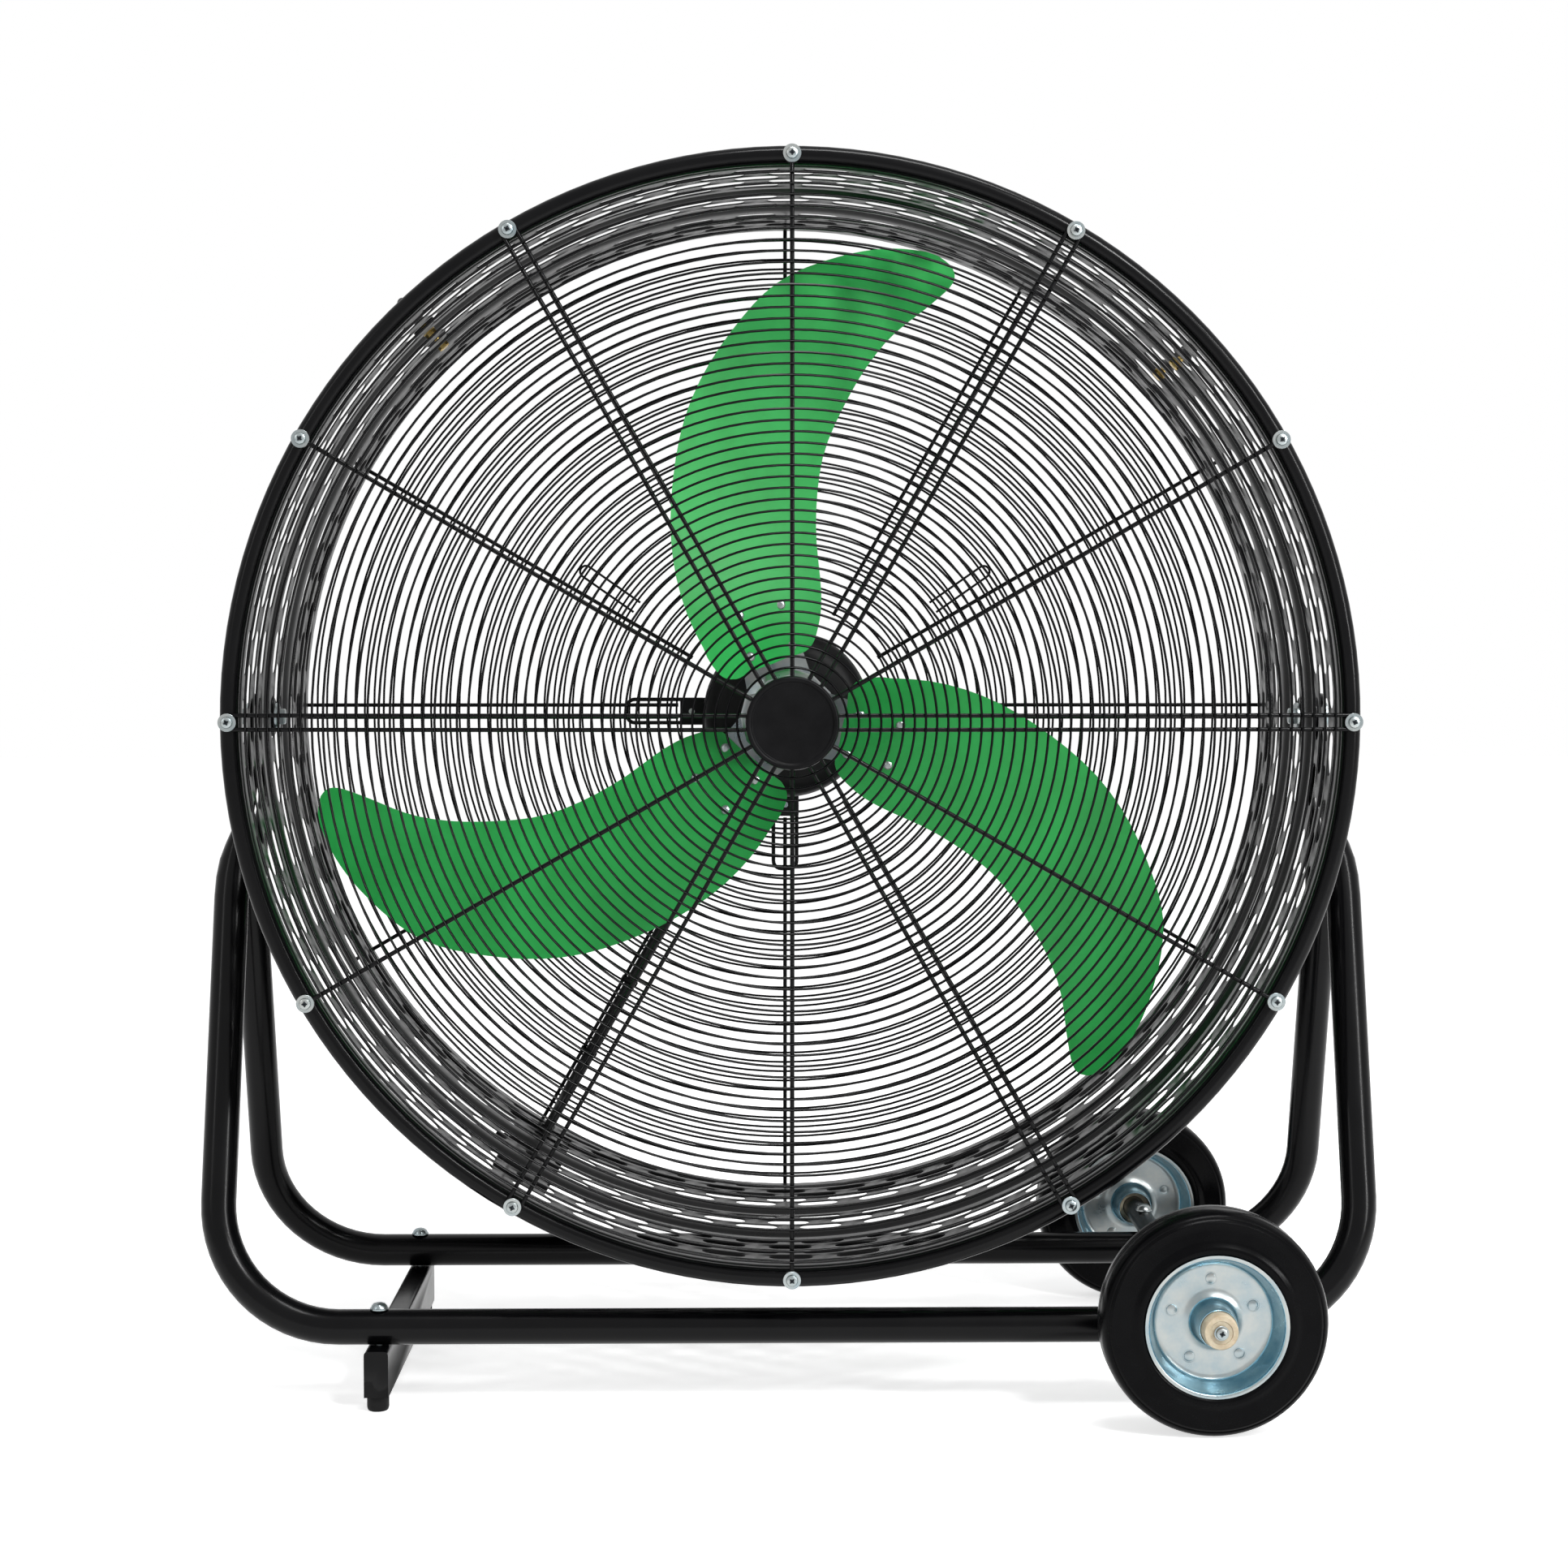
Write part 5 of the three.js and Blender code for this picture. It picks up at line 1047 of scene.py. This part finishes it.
piece("switch_housing", joined(box, gland, inlet), BLACK_ABS, "black_plastic", "drum", "switch_box",
      place=SWITCH_PLACE)
knob = turned(rounded([(0, 156.3), (17, 156.3), (16, 162), (13, 173.3), (0, 173.3)], 1.4), 48)
piece("speed_knob_grip", knob, BLACK_ABS, "black_plastic", "knob", "speed_knob",
      place=SWITCH_PLACE @ shift(0, 0, BOX_AXIS))

# PVC sheath, extruded: matt black with a slight waxy sheen.
PVC_SHEATH = surface("black_pvc_sheath", ("#0c0c0d", "#131314"), (0.4, 0.5), 12, 0.8, 0.01,
                     Specular_IOR_Level=0.15)
route = [(82.8, 150), (102.5, 150), (128, 165.8), (160, 197.4), (249.8, 197.4), (339.7, 197.4),
         (429.5, 197.4), (454.7, 181), (463.1, 161), (469.7, 145.2), (484.2, 143)]
steps = 5 * (len(route) - 1)
curve = [curve_at(route, step / steps) for step in range(steps + 1)]
sheath = wire([Vector((0, y, radius)) for radius, y in curve], LEAD_DIAMETER, ACROSS, 16)
piece("motor_lead_sheath", sheath, PVC_SHEATH, "rubber", "drum", "motor_lead", place=SWITCH_PLACE)

for i in range(3):
    tie = bmesh.new()
    loop = rounded([(0, 192.9), (-9, 192.9), (-9, 206.9), (9, 206.9), (9, 192.9), (0, 192.9)], 4)
    dots = [tie.verts.new((x, y, 0)) for x, y in loop]
    strap = [tie.edges.new(pair) for pair in zip(dots, dots[1:])]
    width = bmesh.ops.extrude_edge_only(tie, edges=strap)["geom"]
    bmesh.ops.translate(tie, vec=(0, 0, TIE_WIDTH),
                        verts=[part for part in width if isinstance(part, bmesh.types.BMVert)])
    bmesh.ops.remove_doubles(tie, verts=tie.verts, dist=0.01)
    bmesh.ops.recalc_face_normals(tie, faces=tie.faces)
    strap = piece(f"lead_tie_{i + 1}", tie, BLACK_ABS, "black_plastic", "drum",
                  place=SWITCH_PLACE @ shift(0, 0, FIRST_TIE + TIE_PITCH * i))
    band = strap.modifiers.new("band", "SOLIDIFY")
    band.thickness = TIE_THICKNESS * MILLIMETRE
